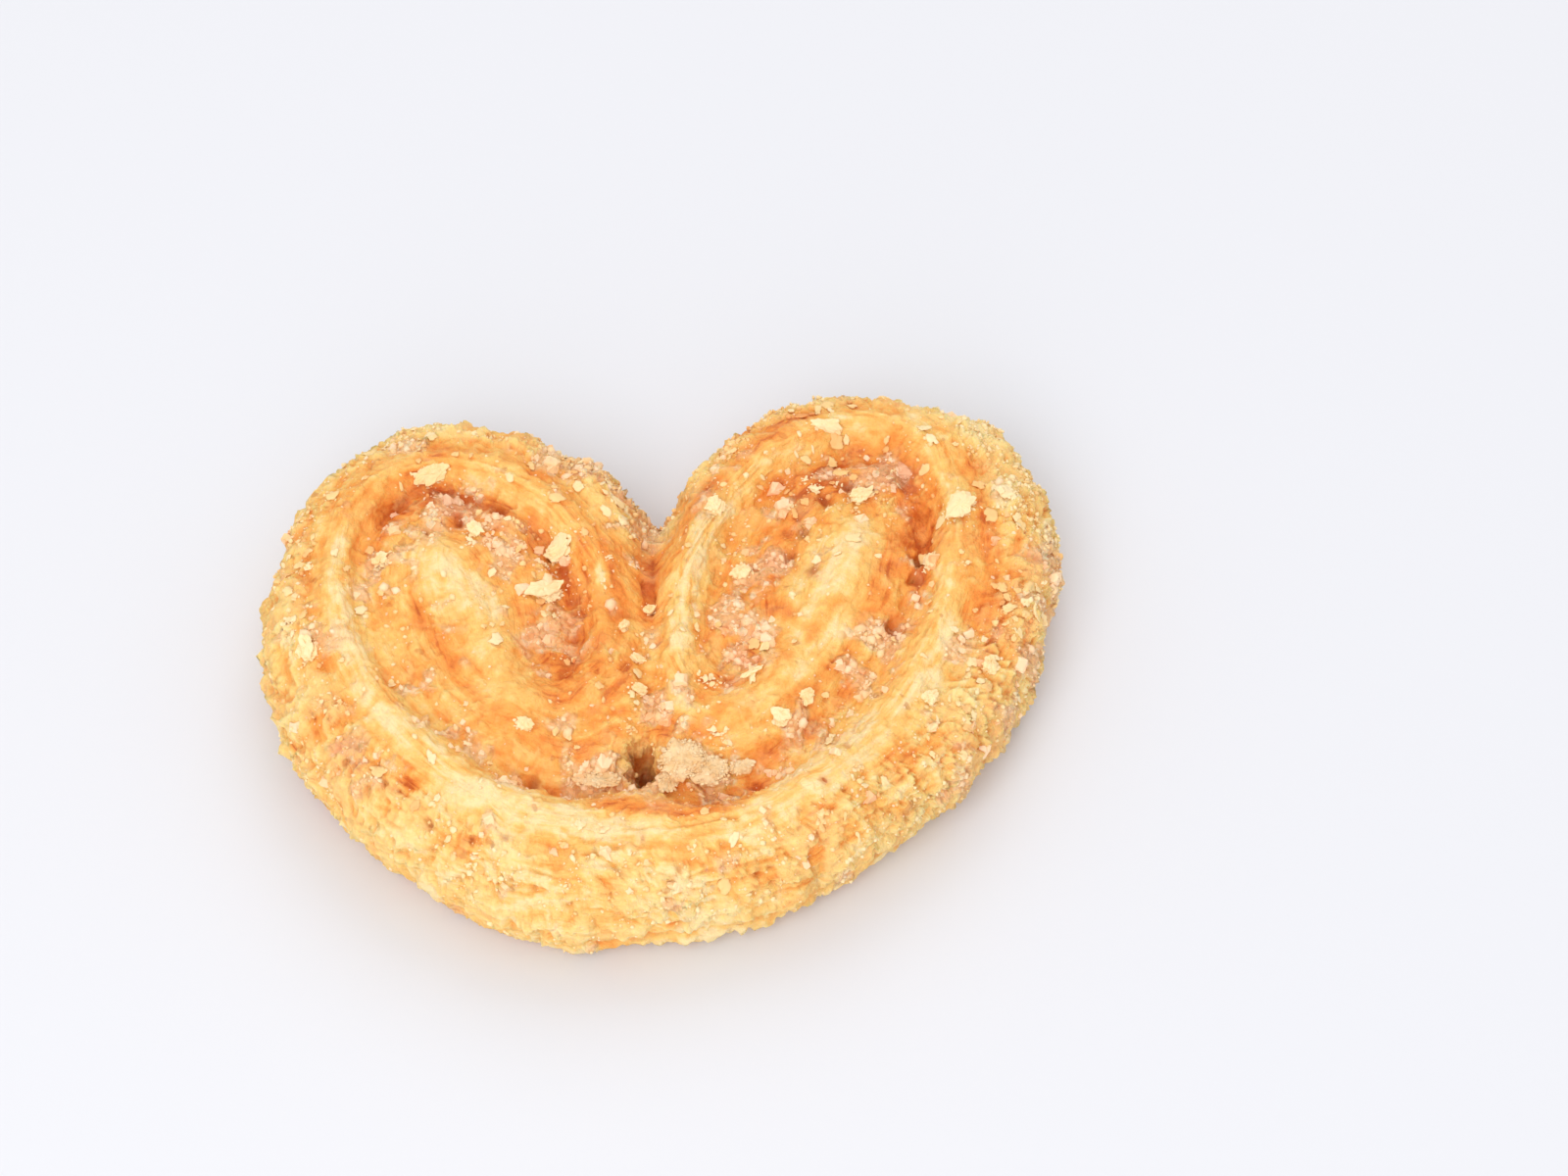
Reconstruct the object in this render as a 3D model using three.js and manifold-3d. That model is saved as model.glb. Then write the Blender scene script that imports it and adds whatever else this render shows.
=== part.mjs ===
// A palmier: puff pastry rolled in from both ends into a heart, baked lying flat and sugared.
// Millimetres, +Z up. It rests on its flat face, with the cleft of the heart towards +Y.
import * as THREE from 'three';
import { mergeVertices } from 'three/addons/utils/BufferGeometryUtils.js';
import Module from 'manifold-3d';

const degree = Math.PI / 180;
const fullTurn = 2 * Math.PI;

// The heart from above: two leaning ovals melted together, with slow waves in the rim.
const middle = [-0.8, -1.0];
const leftLobe = { at: [-14.1, 1.0], long: 28.2, short: 18.1, tilt: 112.5 * degree };
const rightLobe = { at: [12.6, 1.4], long: 29.6, short: 17.6, tilt: 53.4 * degree };
const lobeBlend = 2.35;
const rimWaves = [
  { count: 2, swing: 0.46, phase: 45 * degree },
  { count: 3, swing: 0.84, phase: 213 * degree },
  { count: 4, swing: 0.67, phase: 341 * degree },
  { count: 17, swing: 0.13, phase: 20 * degree },
  { count: 29, swing: 0.1, phase: 140 * degree },
];
const tallCorner = { angle: 69.9 * degree, reach: 5.94, spread: 14.8 * degree };

// How far round the rim its direction is read: wide enough that no inset line folds back,
// and closer in at the notch, which is tight.
const rimSpan = 6 * degree;
const notchSpan = 2 * degree;
const notchReach = 20 * degree;

// Heights above the tray, and how far each edge rounds over.
const crownHeight = 10.3;
const waistHeight = 5.0;
const topRounding = 5.4;
const notchRounding = 3.2;
const notchSpread = 13 * degree;
const footRounding = 3.2;
const topSquareness = 2.3;
const footSquareness = 2.0;

// The seam between two turns of dough: an egg-shaped spiral winding in from the hole. Each is
// shallower along one stretch, where the two turns lie nearly level.
const leftSeam = {
  eye: [-14.0, 4.0], long: 33.8, short: 20.4, tilt: 121.8 * degree, egg: 0.052,
  from: -53 * degree, to: -410 * degree, outer: 0.63, inner: 0.25,
  level: { at: 0.25, reach: 0.16, share: 0.62 },
};
const rightSeam = {
  eye: [10.9, 5.6], long: 42.5, short: 22.5, tilt: 64.1 * degree, egg: 0.088,
  from: -121 * degree, to: 243 * degree, outer: 0.57, inner: 0.22,
  level: { at: 0.21, reach: 0.1, share: 0.3 },
};
const seam = { depth: 1.9, width: 1.7, innerShare: 0.45 };
const crest = {
  rise: 1.15, width: 2.0, widthNearHole: 2.7, widthInside: 1.5,
  awayNearHole: 4.6, away: 2.7, settle: 0.16, turns: 0.8,
};

// The narrow fold that carries each crest on beside the cleft.
const fold = { share: 0.65, width: 1.25 };
const leftFold = [[-8.5, 12.5], [-3.6, 5.0], [-6.2, -5.0]];
const rightFold = [[6.6, 17.5], [-1.0, 4.0], [2.8, -7.0]];

// The pale ridge in the eye of each roll, and the sugar pocket beside it.
const core = { rise: 1.1, width: 2.3 };
const leftCore = [[-19.9, 9.5], [-15.2, 2.2], [-12.1, -5.6]];
const rightCore = [[16.7, 12.1], [15.8, 0.8], [6.1, -6.8]];
const pocket = { depth: 1.1 };
const leftPocket = { at: [-10.2, 2.4], long: 5.2, short: 2.4, tilt: 75 * degree };
const rightPocket = { at: [7.4, 4.6], long: 7.8, short: 2.7, tilt: 82 * degree };

// The cleft runs from the notch down to a small hole where the two rolls meet.
const cleft = {
  from: [-0.7, 18.0], to: [-1.3, -10.5], depth: 1.0, width: 1.5,
  mouthDepth: 4.6, mouth: 7.0, mouthSpread: 0.6,
};
const hole = {
  at: [-1.4, -10.6], long: 1.9, short: 1.5, tilt: 100 * degree, depth: 5.5, steepness: 4,
};

// Slow unevenness of the baked faces, and blisters and hollows near the rim.
const swells = [
  { alongX: 0.19, alongY: 0.11, phase: 0.4, swing: 0.26 },
  { alongX: -0.13, alongY: 0.29, phase: 2.1, swing: 0.22 },
  { alongX: 0.47, alongY: 0.23, phase: 4.4, swing: 0.15 },
  { alongX: 0.31, alongY: -0.62, phase: 1.3, swing: 0.14 },
];
const blisters = [
  { at: [17.0, -18.6], radius: 3.0, rise: 1.0 },
  { at: [13.6, -20.8], radius: 1.7, rise: -1.1 },
  { at: [-29.5, 1.0], radius: 2.4, rise: 0.6 },
  { at: [30.5, 15.5], radius: 3.2, rise: 0.5 },
  { at: [-20.0, -17.5], radius: 2.6, rise: 0.5 },
  { at: [25.5, 23.5], radius: 3.0, rise: 0.5 },
  { at: [-15.5, 24.0], radius: 2.6, rise: 0.4 },
];

// The shallow swirl of the underside, which is flat on the tray outside the margin of its seams.
const undersideSeam = { depth: 0.8, width: 1.3, margin: 0.4 };

// Mesh rings: the faces are filled by rings that grow by eight points each.
const ringGrowth = 8;
const topRings = 23;
const shoulderRings = 5;
const footRings = 3;
const underRings = 12;

// Sugar grains and flakes of crust baked onto the upper face, the largest placed first.
const sugarSeed = 41;
const sugarGrains = 54;
const sugarSize = { largest: 1.7, smallest: 0.9 };
const sugarGap = 2.3;
const sugarMargin = 4.3;
const grainShape = { wide: [0.7, 0.95], high: [0.6, 0.9], lean: 35 * degree, lift: 0.15 };
const flakeShape = { thickness: 0.6, root: 0.9, corners: 9, ragged: [0.72, 1.08], lean: 8 * degree };
const flakes = [
  { at: [2.0, -12.2], long: 5.6, wide: 4.4, turn: 15 * degree },
  { at: [-20.5, 17.9], long: 4.1, wide: 3.0, turn: -10 * degree },
  { at: [-11.0, 5.6], long: 4.4, wide: 2.4, turn: 15 * degree },
  { at: [-9.3, 10.4], long: 3.4, wide: 3.0, turn: 60 * degree },
  { at: [5.2, 14.9], long: 3.6, wide: 2.6, turn: 40 * degree },
  { at: [14.5, 22.6], long: 4.0, wide: 2.0, turn: -8 * degree },
  { at: [17.7, 16.6], long: 3.0, wide: 1.6, turn: 25 * degree },
  { at: [-25.3, 16.9], long: 2.6, wide: 1.4, turn: 12 * degree },
  { at: [6.4, -13.4], long: 2.8, wide: 2.2, turn: 50 * degree },
];

const bell = (distance, width) => Math.exp(-((distance / width) ** 2));
const mix = (a, b, t) => a + (b - a) * t;

// Two shares from nought to one, joined without a crease.
const together = (a, b) => 1 - (1 - a) * (1 - b);

// Distance from the middle of the heart to the rim of one oval, looking along an angle.
function ovalReach(oval, angle) {
  const [alongX, alongY] = intoOval(oval, Math.cos(angle), Math.sin(angle));
  const [startX, startY] = intoOval(oval, middle[0] - oval.at[0], middle[1] - oval.at[1]);
  const a = alongX ** 2 + alongY ** 2;
  const b = alongX * startX + alongY * startY;
  const c = startX ** 2 + startY ** 2 - 1;
  return (-b + Math.sqrt(b * b - a * c)) / a;
}

// A direction or offset measured in an oval's own half lengths.
function intoOval(oval, x, y) {
  const cos = Math.cos(oval.tilt);
  const sin = Math.sin(oval.tilt);
  return [(x * cos + y * sin) / oval.long, (y * cos - x * sin) / oval.short];
}

function angleBetween(a, b) {
  return Math.atan2(Math.sin(a - b), Math.cos(a - b));
}

function rimRadius(angle) {
  const left = ovalReach(leftLobe, angle);
  const right = ovalReach(rightLobe, angle);
  let radius = (left + right + Math.hypot(left - right, lobeBlend)) / 2;
  for (const wave of rimWaves) {
    radius += wave.swing * Math.cos(wave.count * angle - wave.phase);
  }
  return radius + tallCorner.reach * bell(angleBetween(angle, tallCorner.angle), tallCorner.spread);
}

function rimPoint(angle) {
  const radius = rimRadius(angle);
  return [middle[0] + radius * Math.cos(angle), middle[1] + radius * Math.sin(angle)];
}

// Angles that share the rim's length evenly, starting at the notch.
function evenAngles(count) {
  const steps = 3600;
  const lengths = [0];
  for (let i = 0; i < steps; i++) {
    const [x0, y0] = rimPoint(Math.PI / 2 + (i / steps) * fullTurn);
    const [x1, y1] = rimPoint(Math.PI / 2 + ((i + 1) / steps) * fullTurn);
    lengths.push(lengths[i] + Math.hypot(x1 - x0, y1 - y0));
  }
  const angles = [];
  let step = 0;
  for (let i = 0; i < count; i++) {
    const wanted = (i / count) * lengths[steps];
    while (lengths[step + 1] < wanted) step++;
    const share = (wanted - lengths[step]) / (lengths[step + 1] - lengths[step]);
    angles.push(Math.PI / 2 + ((step + share) / steps) * fullTurn);
  }
  return angles;
}

function rimNormal(angle) {
  const span = mix(rimSpan, notchSpan, bell(angleBetween(angle, Math.PI / 2), notchReach));
  const [x0, y0] = rimPoint(angle - span);
  const [x1, y1] = rimPoint(angle + span);
  const length = Math.hypot(x1 - x0, y1 - y0);
  return [(y1 - y0) / length, (x0 - x1) / length];
}

// A point moved in from the rim, square to it.
function insetPoint(angle, inset) {
  const [x, y] = rimPoint(angle);
  const [outX, outY] = rimNormal(angle);
  return [x - outX * inset, y - outY * inset];
}

function topRoundingAt(angle) {
  return mix(topRounding, notchRounding, bell(angleBetween(angle, Math.PI / 2), notchSpread));
}

// A spiral seam as points, each with its share of the way in from the hole.
function seamLine(spiral) {
  const count = 110;
  const line = [];
  for (let i = 0; i <= count; i++) {
    const share = i / count;
    const angle = mix(spiral.from, spiral.to, share);
    const lean = angle - spiral.tilt;
    const oval = Math.hypot(Math.cos(lean) / spiral.long, Math.sin(lean) / spiral.short);
    const radius = (mix(spiral.outer, spiral.inner, share) * (1 + spiral.egg * Math.cos(lean))) / oval;
    const x = spiral.eye[0] + radius * Math.cos(angle);
    const y = spiral.eye[1] + radius * Math.sin(angle);
    line.push({ x, y, share });
  }
  return line;
}

// The rounded top of the outer turn, which follows the seam on its outer side.
function crestLine(spiral) {
  const line = seamLine(spiral).filter((point) => point.share <= crest.turns);
  return line.map((point) => {
    const away = mix(crest.away, crest.awayNearHole, bell(point.share, crest.settle));
    const x = point.x - spiral.eye[0];
    const y = point.y - spiral.eye[1];
    const scale = 1 + away / Math.hypot(x, y);
    return { x: spiral.eye[0] + x * scale, y: spiral.eye[1] + y * scale, share: point.share };
  });
}

function curveLine(ends) {
  const steps = 24;
  const points = ends.map(([x, y]) => new THREE.Vector2(x, y));
  const curve = new THREE.QuadraticBezierCurve(...points);
  return curve.getPoints(steps).map((point, i) => ({ x: point.x, y: point.y, share: i / steps }));
}

function nearest(line, x, y) {
  let best = { distance: Infinity, share: 0 };
  for (const point of line) {
    const distance = Math.hypot(point.x - x, point.y - y);
    if (distance < best.distance) best = { distance, share: point.share };
  }
  return best;
}

function rollLines(spiral, foldEnds, coreEnds, pocketOval) {
  return {
    seam: seamLine(spiral), crest: crestLine(spiral), level: spiral.level,
    fold: curveLine(foldEnds), core: curveLine(coreEnds), pocket: pocketOval,
  };
}

const rolls = [
  rollLines(leftSeam, leftFold, leftCore, leftPocket),
  rollLines(rightSeam, rightFold, rightCore, rightPocket),
];

function swell(x, y) {
  let sum = 0;
  for (const wave of swells) {
    sum += wave.swing * Math.sin(wave.alongX * x + wave.alongY * y + wave.phase);
  }
  return sum;
}

// How deep inside an oval dip a point lies: one at its middle, none outside.
function dip(oval, x, y, steepness) {
  const [u, v] = intoOval(oval, x - oval.at[0], y - oval.at[1]);
  return Math.exp(-(Math.hypot(u, v) ** steepness));
}

function cleftDip(x, y) {
  const [fromX, fromY] = cleft.from;
  const [toX, toY] = cleft.to;
  const share = THREE.MathUtils.clamp((fromY - y) / (fromY - toY), 0, 1);
  const aside = Math.hypot(x - mix(fromX, toX, share), Math.max(toY - y, 0));
  const mouth = bell(Math.max(fromY - y, 0), cleft.mouth);
  const width = cleft.width * (1 + cleft.mouthSpread * mouth);
  return (cleft.depth + cleft.mouthDepth * mouth) * bell(aside, width);
}

// How far a point lies on one roll's crest, on its fold and in its seam, each from nought to one.
function ridgeShare(roll, x, y) {
  const { distance, share } = nearest(roll.crest, x, y);
  const width = mix(crest.width, crest.widthInside, share);
  return bell(distance, mix(width, crest.widthNearHole, bell(share, crest.settle)));
}

function foldShare(roll, x, y) {
  return bell(nearest(roll.fold, x, y).distance, fold.width);
}

function grooveShare(roll, x, y) {
  const { distance, share } = nearest(roll.seam, x, y);
  const leveled = roll.level.share * bell(share - roll.level.at, roll.level.reach);
  return bell(distance, seam.width) * mix(1, seam.innerShare, share) * (1 - leveled);
}

// Height of the upper face, before its edge rounds over.
function topHeight(x, y) {
  let z = crownHeight + swell(x, y);
  for (const blister of blisters) {
    z += blister.rise * bell(Math.hypot(x - blister.at[0], y - blister.at[1]), blister.radius);
  }
  const [left, right] = rolls;
  const folds = fold.share * together(foldShare(left, x, y), foldShare(right, x, y));
  z += crest.rise * together(together(ridgeShare(left, x, y), ridgeShare(right, x, y)), folds);
  z -= seam.depth * together(grooveShare(left, x, y), grooveShare(right, x, y));
  for (const roll of rolls) {
    z += core.rise * bell(nearest(roll.core, x, y).distance, core.width);
    z -= pocket.depth * dip(roll.pocket, x, y, 2);
  }
  return z - cleftDip(x, y) - hole.depth * dip(hole, x, y, hole.steepness);
}

// Height of the underside: flat on the tray, but for its own shallow seams.
function underHeight(x, y) {
  let z = 0;
  for (const roll of rolls) {
    const nearSeam = bell(nearest(roll.seam, x, y).distance, undersideSeam.width);
    z = Math.max(z, undersideSeam.depth * mix(-undersideSeam.margin, 1, nearSeam));
  }
  return z;
}

// One closed skin built ring by ring from the middle of the top to the middle of the underside.
function pastryGeometry() {
  const positions = [];
  const indices = [];
  const addRing = (points) => {
    const first = positions.length / 3;
    for (const point of points) positions.push(...point);
    return { first, count: points.length };
  };
  // Stitches two rings of any sizes, stepping along whichever lags behind.
  const stitch = (upper, lower) => {
    let i = 0;
    let j = 0;
    const at = (ring, k) => ring.first + (k % ring.count);
    while (i < upper.count || j < lower.count) {
      const upperLags = (i + 1) / upper.count <= (j + 1) / lower.count;
      const stepUpper = j === lower.count || (i < upper.count && upperLags);
      if (stepUpper && upper.count > 1) {
        indices.push(at(upper, i), at(lower, j), at(upper, i + 1));
        i++;
      } else if (stepUpper) {
        i++;
      } else {
        if (lower.count > 1) indices.push(at(upper, i), at(lower, j), at(lower, j + 1));
        j++;
      }
    }
  };
  const faceRing = (level, levels, rounding, heightAt) => {
    if (level === 0) return [[...middle, heightAt(...middle)]];
    return evenAngles(ringGrowth * level).map((angle) => {
      const [edgeX, edgeY] = insetPoint(angle, rounding(angle));
      const x = mix(middle[0], edgeX, level / levels);
      const y = mix(middle[1], edgeY, level / levels);
      return [x, y, heightAt(x, y)];
    });
  };
  const rimAngles = evenAngles(ringGrowth * topRings);
  const edgeRing = (turn, squareness, rounding, faceHeight) => rimAngles.map((angle) => {
    const inset = rounding(angle) * (1 - Math.cos(turn) ** (2 / squareness));
    const [x, y] = insetPoint(angle, inset);
    return [x, y, mix(waistHeight, faceHeight(x, y), Math.sin(turn) ** (2 / squareness))];
  });

  const rings = [];
  for (let level = 0; level <= topRings; level++) {
    rings.push(addRing(faceRing(level, topRings, topRoundingAt, topHeight)));
  }
  for (let i = shoulderRings - 1; i >= 0; i--) {
    const turn = (i / shoulderRings) * 90 * degree;
    rings.push(addRing(edgeRing(turn, topSquareness, topRoundingAt, topHeight)));
  }
  for (let i = 1; i <= footRings; i++) {
    const turn = (i / (footRings + 1)) * 90 * degree;
    rings.push(addRing(edgeRing(turn, footSquareness, () => footRounding, underHeight)));
  }
  for (let level = underRings; level >= 0; level--) {
    rings.push(addRing(faceRing(level, underRings, () => footRounding, underHeight)));
  }
  for (let i = 1; i < rings.length; i++) stitch(rings[i - 1], rings[i]);

  const geometry = new THREE.BufferGeometry();
  geometry.setAttribute('position', new THREE.Float32BufferAttribute(positions, 3));
  geometry.setIndex(indices);
  return geometry;
}

// Repeatable draws between nought and one.
function seededDraw(seed) {
  const multiplier = 1664525;
  const increment = 1013904223;
  const range = 2 ** 32;
  let state = seed;
  return () => {
    state = (state * multiplier + increment) % range;
    return state / range;
  };
}

// One sugar crystal: a small skewed block, half sunk into the crust.
function grainGeometry(x, y, size, draw) {
  const wide = size * mix(...grainShape.wide, draw());
  const high = size * mix(...grainShape.high, draw());
  const grain = new THREE.BoxGeometry(size, wide, high);
  grain.rotateX(mix(-grainShape.lean, grainShape.lean, draw()));
  grain.rotateY(mix(-grainShape.lean, grainShape.lean, draw()));
  grain.rotateZ(draw() * fullTurn);
  grain.translate(x, y, topHeight(x, y) + size * grainShape.lift);
  return grain;
}

// Grain places: drawn over the heart, kept apart, with the largest grains first.
function grainGeometries() {
  const draw = seededDraw(sugarSeed);
  const holeEdge = 0.05;
  const places = [];
  while (places.length < sugarGrains) {
    const angle = draw() * fullTurn;
    const share = Math.sqrt(draw());
    const [edgeX, edgeY] = insetPoint(angle, sugarMargin);
    const x = mix(middle[0], edgeX, share);
    const y = mix(middle[1], edgeY, share);
    const inHole = dip(hole, x, y, hole.steepness) > holeEdge;
    const free = places.every((place) => Math.hypot(place.x - x, place.y - y) > sugarGap);
    if (free && !inHole) places.push({ x, y });
  }
  return places.map(({ x, y }, i) => {
    const size = mix(sugarSize.largest, sugarSize.smallest, i / sugarGrains);
    return grainGeometry(x, y, size, draw);
  });
}

// The mean height of the face under a flake's middle and its four ends.
function restingHeight({ at: [x, y], long, wide, turn }) {
  const reach = (along, across) => topHeight(
    x + (along * long * Math.cos(turn) - across * wide * Math.sin(turn)) / 2,
    y + (along * long * Math.sin(turn) + across * wide * Math.cos(turn)) / 2,
  );
  return (reach(0, 0) + reach(1, 0) + reach(-1, 0) + reach(0, 1) + reach(0, -1)) / 5;
}

// A flake of crust: a thin plate with a ragged edge, rooted in the face it lies on.
function flakeGeometry(flake, draw) {
  const { thickness, root, corners, lean } = flakeShape;
  const outline = [];
  for (let i = 0; i < corners; i++) {
    const angle = (i / corners) * fullTurn;
    const reach = mix(...flakeShape.ragged, draw()) / 2;
    const x = reach * flake.long * Math.cos(angle);
    const y = reach * flake.wide * Math.sin(angle);
    outline.push(new THREE.Vector2(x, y));
  }
  const shape = new THREE.Shape(outline);
  const plate = new THREE.ExtrudeGeometry(shape, { depth: thickness + root, bevelEnabled: false });
  plate.rotateX(mix(-lean, lean, draw()));
  plate.rotateY(mix(-lean, lean, draw()));
  plate.rotateZ(flake.turn);
  plate.translate(flake.at[0], flake.at[1], restingHeight(flake) - root);
  return plate;
}

const wasm = await Module();
wasm.setup();

function toSolid(geometry) {
  geometry.deleteAttribute('normal');
  geometry.deleteAttribute('uv');
  const merged = mergeVertices(geometry);
  return new wasm.Manifold(new wasm.Mesh({
    numProp: 3,
    vertProperties: new Float32Array(merged.attributes.position.array),
    triVerts: new Uint32Array(merged.index.array),
  }));
}

// Joining can leave a hairline scrap behind: only the pastry itself is kept.
function largestShell(solid) {
  return solid.decompose().reduce((best, shell) => (shell.volume() > best.volume() ? shell : best));
}

function toGeometry(solid) {
  const mesh = solid.getMesh();
  const geometry = new THREE.BufferGeometry();
  geometry.setAttribute('position', new THREE.BufferAttribute(mesh.vertProperties, 3));
  geometry.setIndex(new THREE.BufferAttribute(mesh.triVerts, 1));
  return geometry;
}

// The pastry with its toppings fused on, moved so that it is centred over the origin.
function palmierGeometry() {
  const draw = seededDraw(sugarSeed + 1);
  const toppings = [...flakes.map((flake) => flakeGeometry(flake, draw)), ...grainGeometries()];
  let solid = toSolid(pastryGeometry());
  for (const topping of toppings) solid = solid.add(toSolid(topping));
  const geometry = toGeometry(largestShell(solid));
  geometry.computeBoundingBox();
  const { min, max } = geometry.boundingBox;
  geometry.translate(-(min.x + max.x) / 2, -(min.y + max.y) / 2, -min.z);
  geometry.computeVertexNormals();
  return geometry;
}

const bakedCrust = new THREE.MeshStandardMaterial({ color: 0xeaa85c, roughness: 0.6, metalness: 0 });
const palmier = new THREE.Mesh(palmierGeometry(), bakedCrust);
palmier.name = 'palmier';

const group = new THREE.Group();
group.add(palmier);
export default group;
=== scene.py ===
import math

import bmesh
import bpy
import numpy as np
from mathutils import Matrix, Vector


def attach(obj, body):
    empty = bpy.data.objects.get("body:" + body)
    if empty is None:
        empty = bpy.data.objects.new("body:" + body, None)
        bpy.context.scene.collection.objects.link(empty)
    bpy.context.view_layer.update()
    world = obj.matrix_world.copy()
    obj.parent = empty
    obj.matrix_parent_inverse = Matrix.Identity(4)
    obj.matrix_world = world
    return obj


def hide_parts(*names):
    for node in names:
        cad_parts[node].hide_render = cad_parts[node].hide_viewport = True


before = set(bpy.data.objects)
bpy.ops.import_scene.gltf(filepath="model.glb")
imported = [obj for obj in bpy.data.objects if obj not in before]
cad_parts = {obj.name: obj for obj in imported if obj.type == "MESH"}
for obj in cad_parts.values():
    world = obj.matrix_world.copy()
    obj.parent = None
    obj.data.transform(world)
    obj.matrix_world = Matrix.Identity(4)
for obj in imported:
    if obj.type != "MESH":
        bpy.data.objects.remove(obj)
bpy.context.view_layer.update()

# A palmier lying flat. Shapes are worked out in millimetres and written to meshes in metres.
mm = 0.001
degree = math.pi / 180


def bell(distance, width):
    # one at nought, falling away like exp(-(distance / width) squared)
    return np.exp(-(distance / width) ** 2)


def mix(a, b, share):
    # a at share nought, b at share one, and in proportion between
    return a + (b - a) * share


def ramp(value, low, high):
    # nought below low, one above high, and an S-curve between
    t = np.clip((value - low) / (high - low), 0.0, 1.0)
    return t * t * (3 - 2 * t)


def hashedLattice(cell, seed):
    # one repeatable number from 0 to 1 for each whole-number cell
    mixed = seed * 2654435
    for axis, prime in enumerate((73856093, 19349663, 83492791)):
        mixed = mixed ^ (cell[..., axis] * prime)
    for shift, factor in ((13, 1274126177), (16, 668265263)):
        mixed = (mixed ^ (mixed >> shift)) * factor & 0xFFFFFFFF
    return (mixed ^ (mixed >> 15)) % 65536 / 65535.0


def softNoise(points, size, seed):
    # random numbers on a lattice of this size, blended smoothly between its corners, from -1 to 1
    scaled = points / size + 1000.0
    cell = np.floor(scaled).astype(np.int64)
    inside = scaled - cell
    blend = inside * inside * inside * (inside * (inside * 6 - 15) + 10)
    total = np.zeros(len(points))
    for corner in np.ndindex(2, 2, 2):
        weight = np.prod(np.where(np.array(corner) == 1, blend, 1 - blend), axis=1)
        total += weight * hashedLattice(cell + np.array(corner), seed)
    return total * 2 - 1


def cloudNoise(points, size, seed, octaves=3):
    # soft noise summed at halving sizes and halving strengths
    total = np.zeros(len(points))
    strength = 1.0
    for octave in range(octaves):
        total += strength * softNoise(points, size * 0.5 ** octave, seed + octave)
        strength *= 0.5
    return total / 1.5


def patchy(points, size, seed, octaves, low, high):
    # soft-edged patches: nought where the noise is under low, and one where it is over high
    return ramp(cloudNoise(points, size, seed, octaves), low, high)


def warped(points, size, reach, seed):
    # each point pushed about by up to this reach, so that patterns laid on it wander and tear
    return points + reach * np.stack([softNoise(points, size, seed + axis) for axis in range(3)], 1)


def together(first, second):
    # two shares from nought to one, joined without a crease: one less the product of what each leaves
    return 1 - (1 - first) * (1 - second)


def softLess(first, second, sharpness=0.6):
    # the smaller of two distances, rounded where they are nearly equal
    return -np.logaddexp(-first * sharpness, -second * sharpness) / sharpness


def cellNoise(points, size, seed):
    # one random point in each cell: the distances to the two nearest, and a number for the nearest
    scaled = points / size + 1000.0
    cell = np.floor(scaled).astype(np.int64)
    first = np.full(len(points), 9.0)
    second = np.full(len(points), 9.0)
    tone = np.zeros(len(points))
    for step in np.ndindex(3, 3, 3):
        near = cell + np.array(step) - 1
        place = near + np.stack([hashedLattice(near, seed + axis) for axis in (1, 2, 3)], 1)
        gap = np.sqrt(((scaled - place) ** 2).sum(1))
        closer = gap < first
        second = np.where(closer, first, np.minimum(second, gap))
        tone = np.where(closer, hashedLattice(near, seed + 7), tone)
        first = np.where(closer, gap, first)
    return first, second, tone


def pebbled(points, size, seed, softness, least):
    # rounded lumps of uneven height, one in each cell
    near, _, tone = cellNoise(points, size, seed)
    return ramp(0.8 - near, 0, softness) * mix(least, 1, tone)


def spotted(total, x, y, spots):
    # a rise or a dip added at each spot, which has x, y, a radius and an amount
    for atX, atY, radius, amount in spots:
        total = total + amount * bell(np.hypot(x - atX, y - atY), radius)
    return total


linePoints = {"rim": 3601, "outline": 2000, "seam": 160, "curve": 25}    # how finely each line is drawn
heart = {
    "middle": (-0.8, -1.0),
    "leftLobe": {"at": (-14.1, 1.0), "long": 28.2, "short": 18.1, "tilt": 112.5 * degree},
    "rightLobe": {"at": (12.6, 1.4), "long": 29.6, "short": 17.6, "tilt": 53.4 * degree},
    "lobeBlend": 2.35,
    "rimWaves": ((2, 0.46, 45 * degree), (3, 0.84, 213 * degree), (4, 0.67, 341 * degree),
                 (17, 0.13, 20 * degree), (29, 0.1, 140 * degree)),
    "tallCorner": (69.9 * degree, 5.94, 14.8 * degree),
    "rimSpan": 6 * degree,
    "notchSpan": 2 * degree,
    "notchReach": 20 * degree,
    "crownHeight": 10.3,
    "waistHeight": 5.0,
    "topRounding": 5.4,
    "notchRounding": 3.2,
    "notchSpread": 13 * degree,
    "footRounding": 3.2,
    "topSquareness": 2.3,
    "footSquareness": 2.0,
}
leftRoll = {
    "seam": {"eye": (-14.0, 4.0), "long": 33.8, "short": 20.4, "tilt": 121.8 * degree, "egg": 0.052,
             "from": -53 * degree, "to": -410 * degree, "outer": 0.63, "inner": 0.25},
    "level": {"at": 0.25, "reach": 0.16, "share": 0.62},
    "core": ((-19.9, 9.5), (-15.2, 2.2), (-12.1, -5.6)),
    "fold": ((-8.5, 12.5), (-3.6, 5.0), (-6.2, -5.0)),
    "pocket": {"at": (-10.2, 2.4), "long": 5.2, "short": 2.4, "tilt": 75 * degree},
}
rightRoll = {
    "seam": {"eye": (10.9, 5.6), "long": 42.5, "short": 22.5, "tilt": 64.1 * degree, "egg": 0.088,
             "from": -121 * degree, "to": 243 * degree, "outer": 0.57, "inner": 0.22},
    "level": {"at": 0.21, "reach": 0.1, "share": 0.3},
    "core": ((16.7, 12.1), (15.8, 0.8), (6.1, -6.8)),
    "fold": ((6.6, 17.5), (-1.0, 4.0), (2.8, -7.0)),
    "pocket": {"at": (7.4, 4.6), "long": 7.8, "short": 2.7, "tilt": 82 * degree},
}
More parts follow.
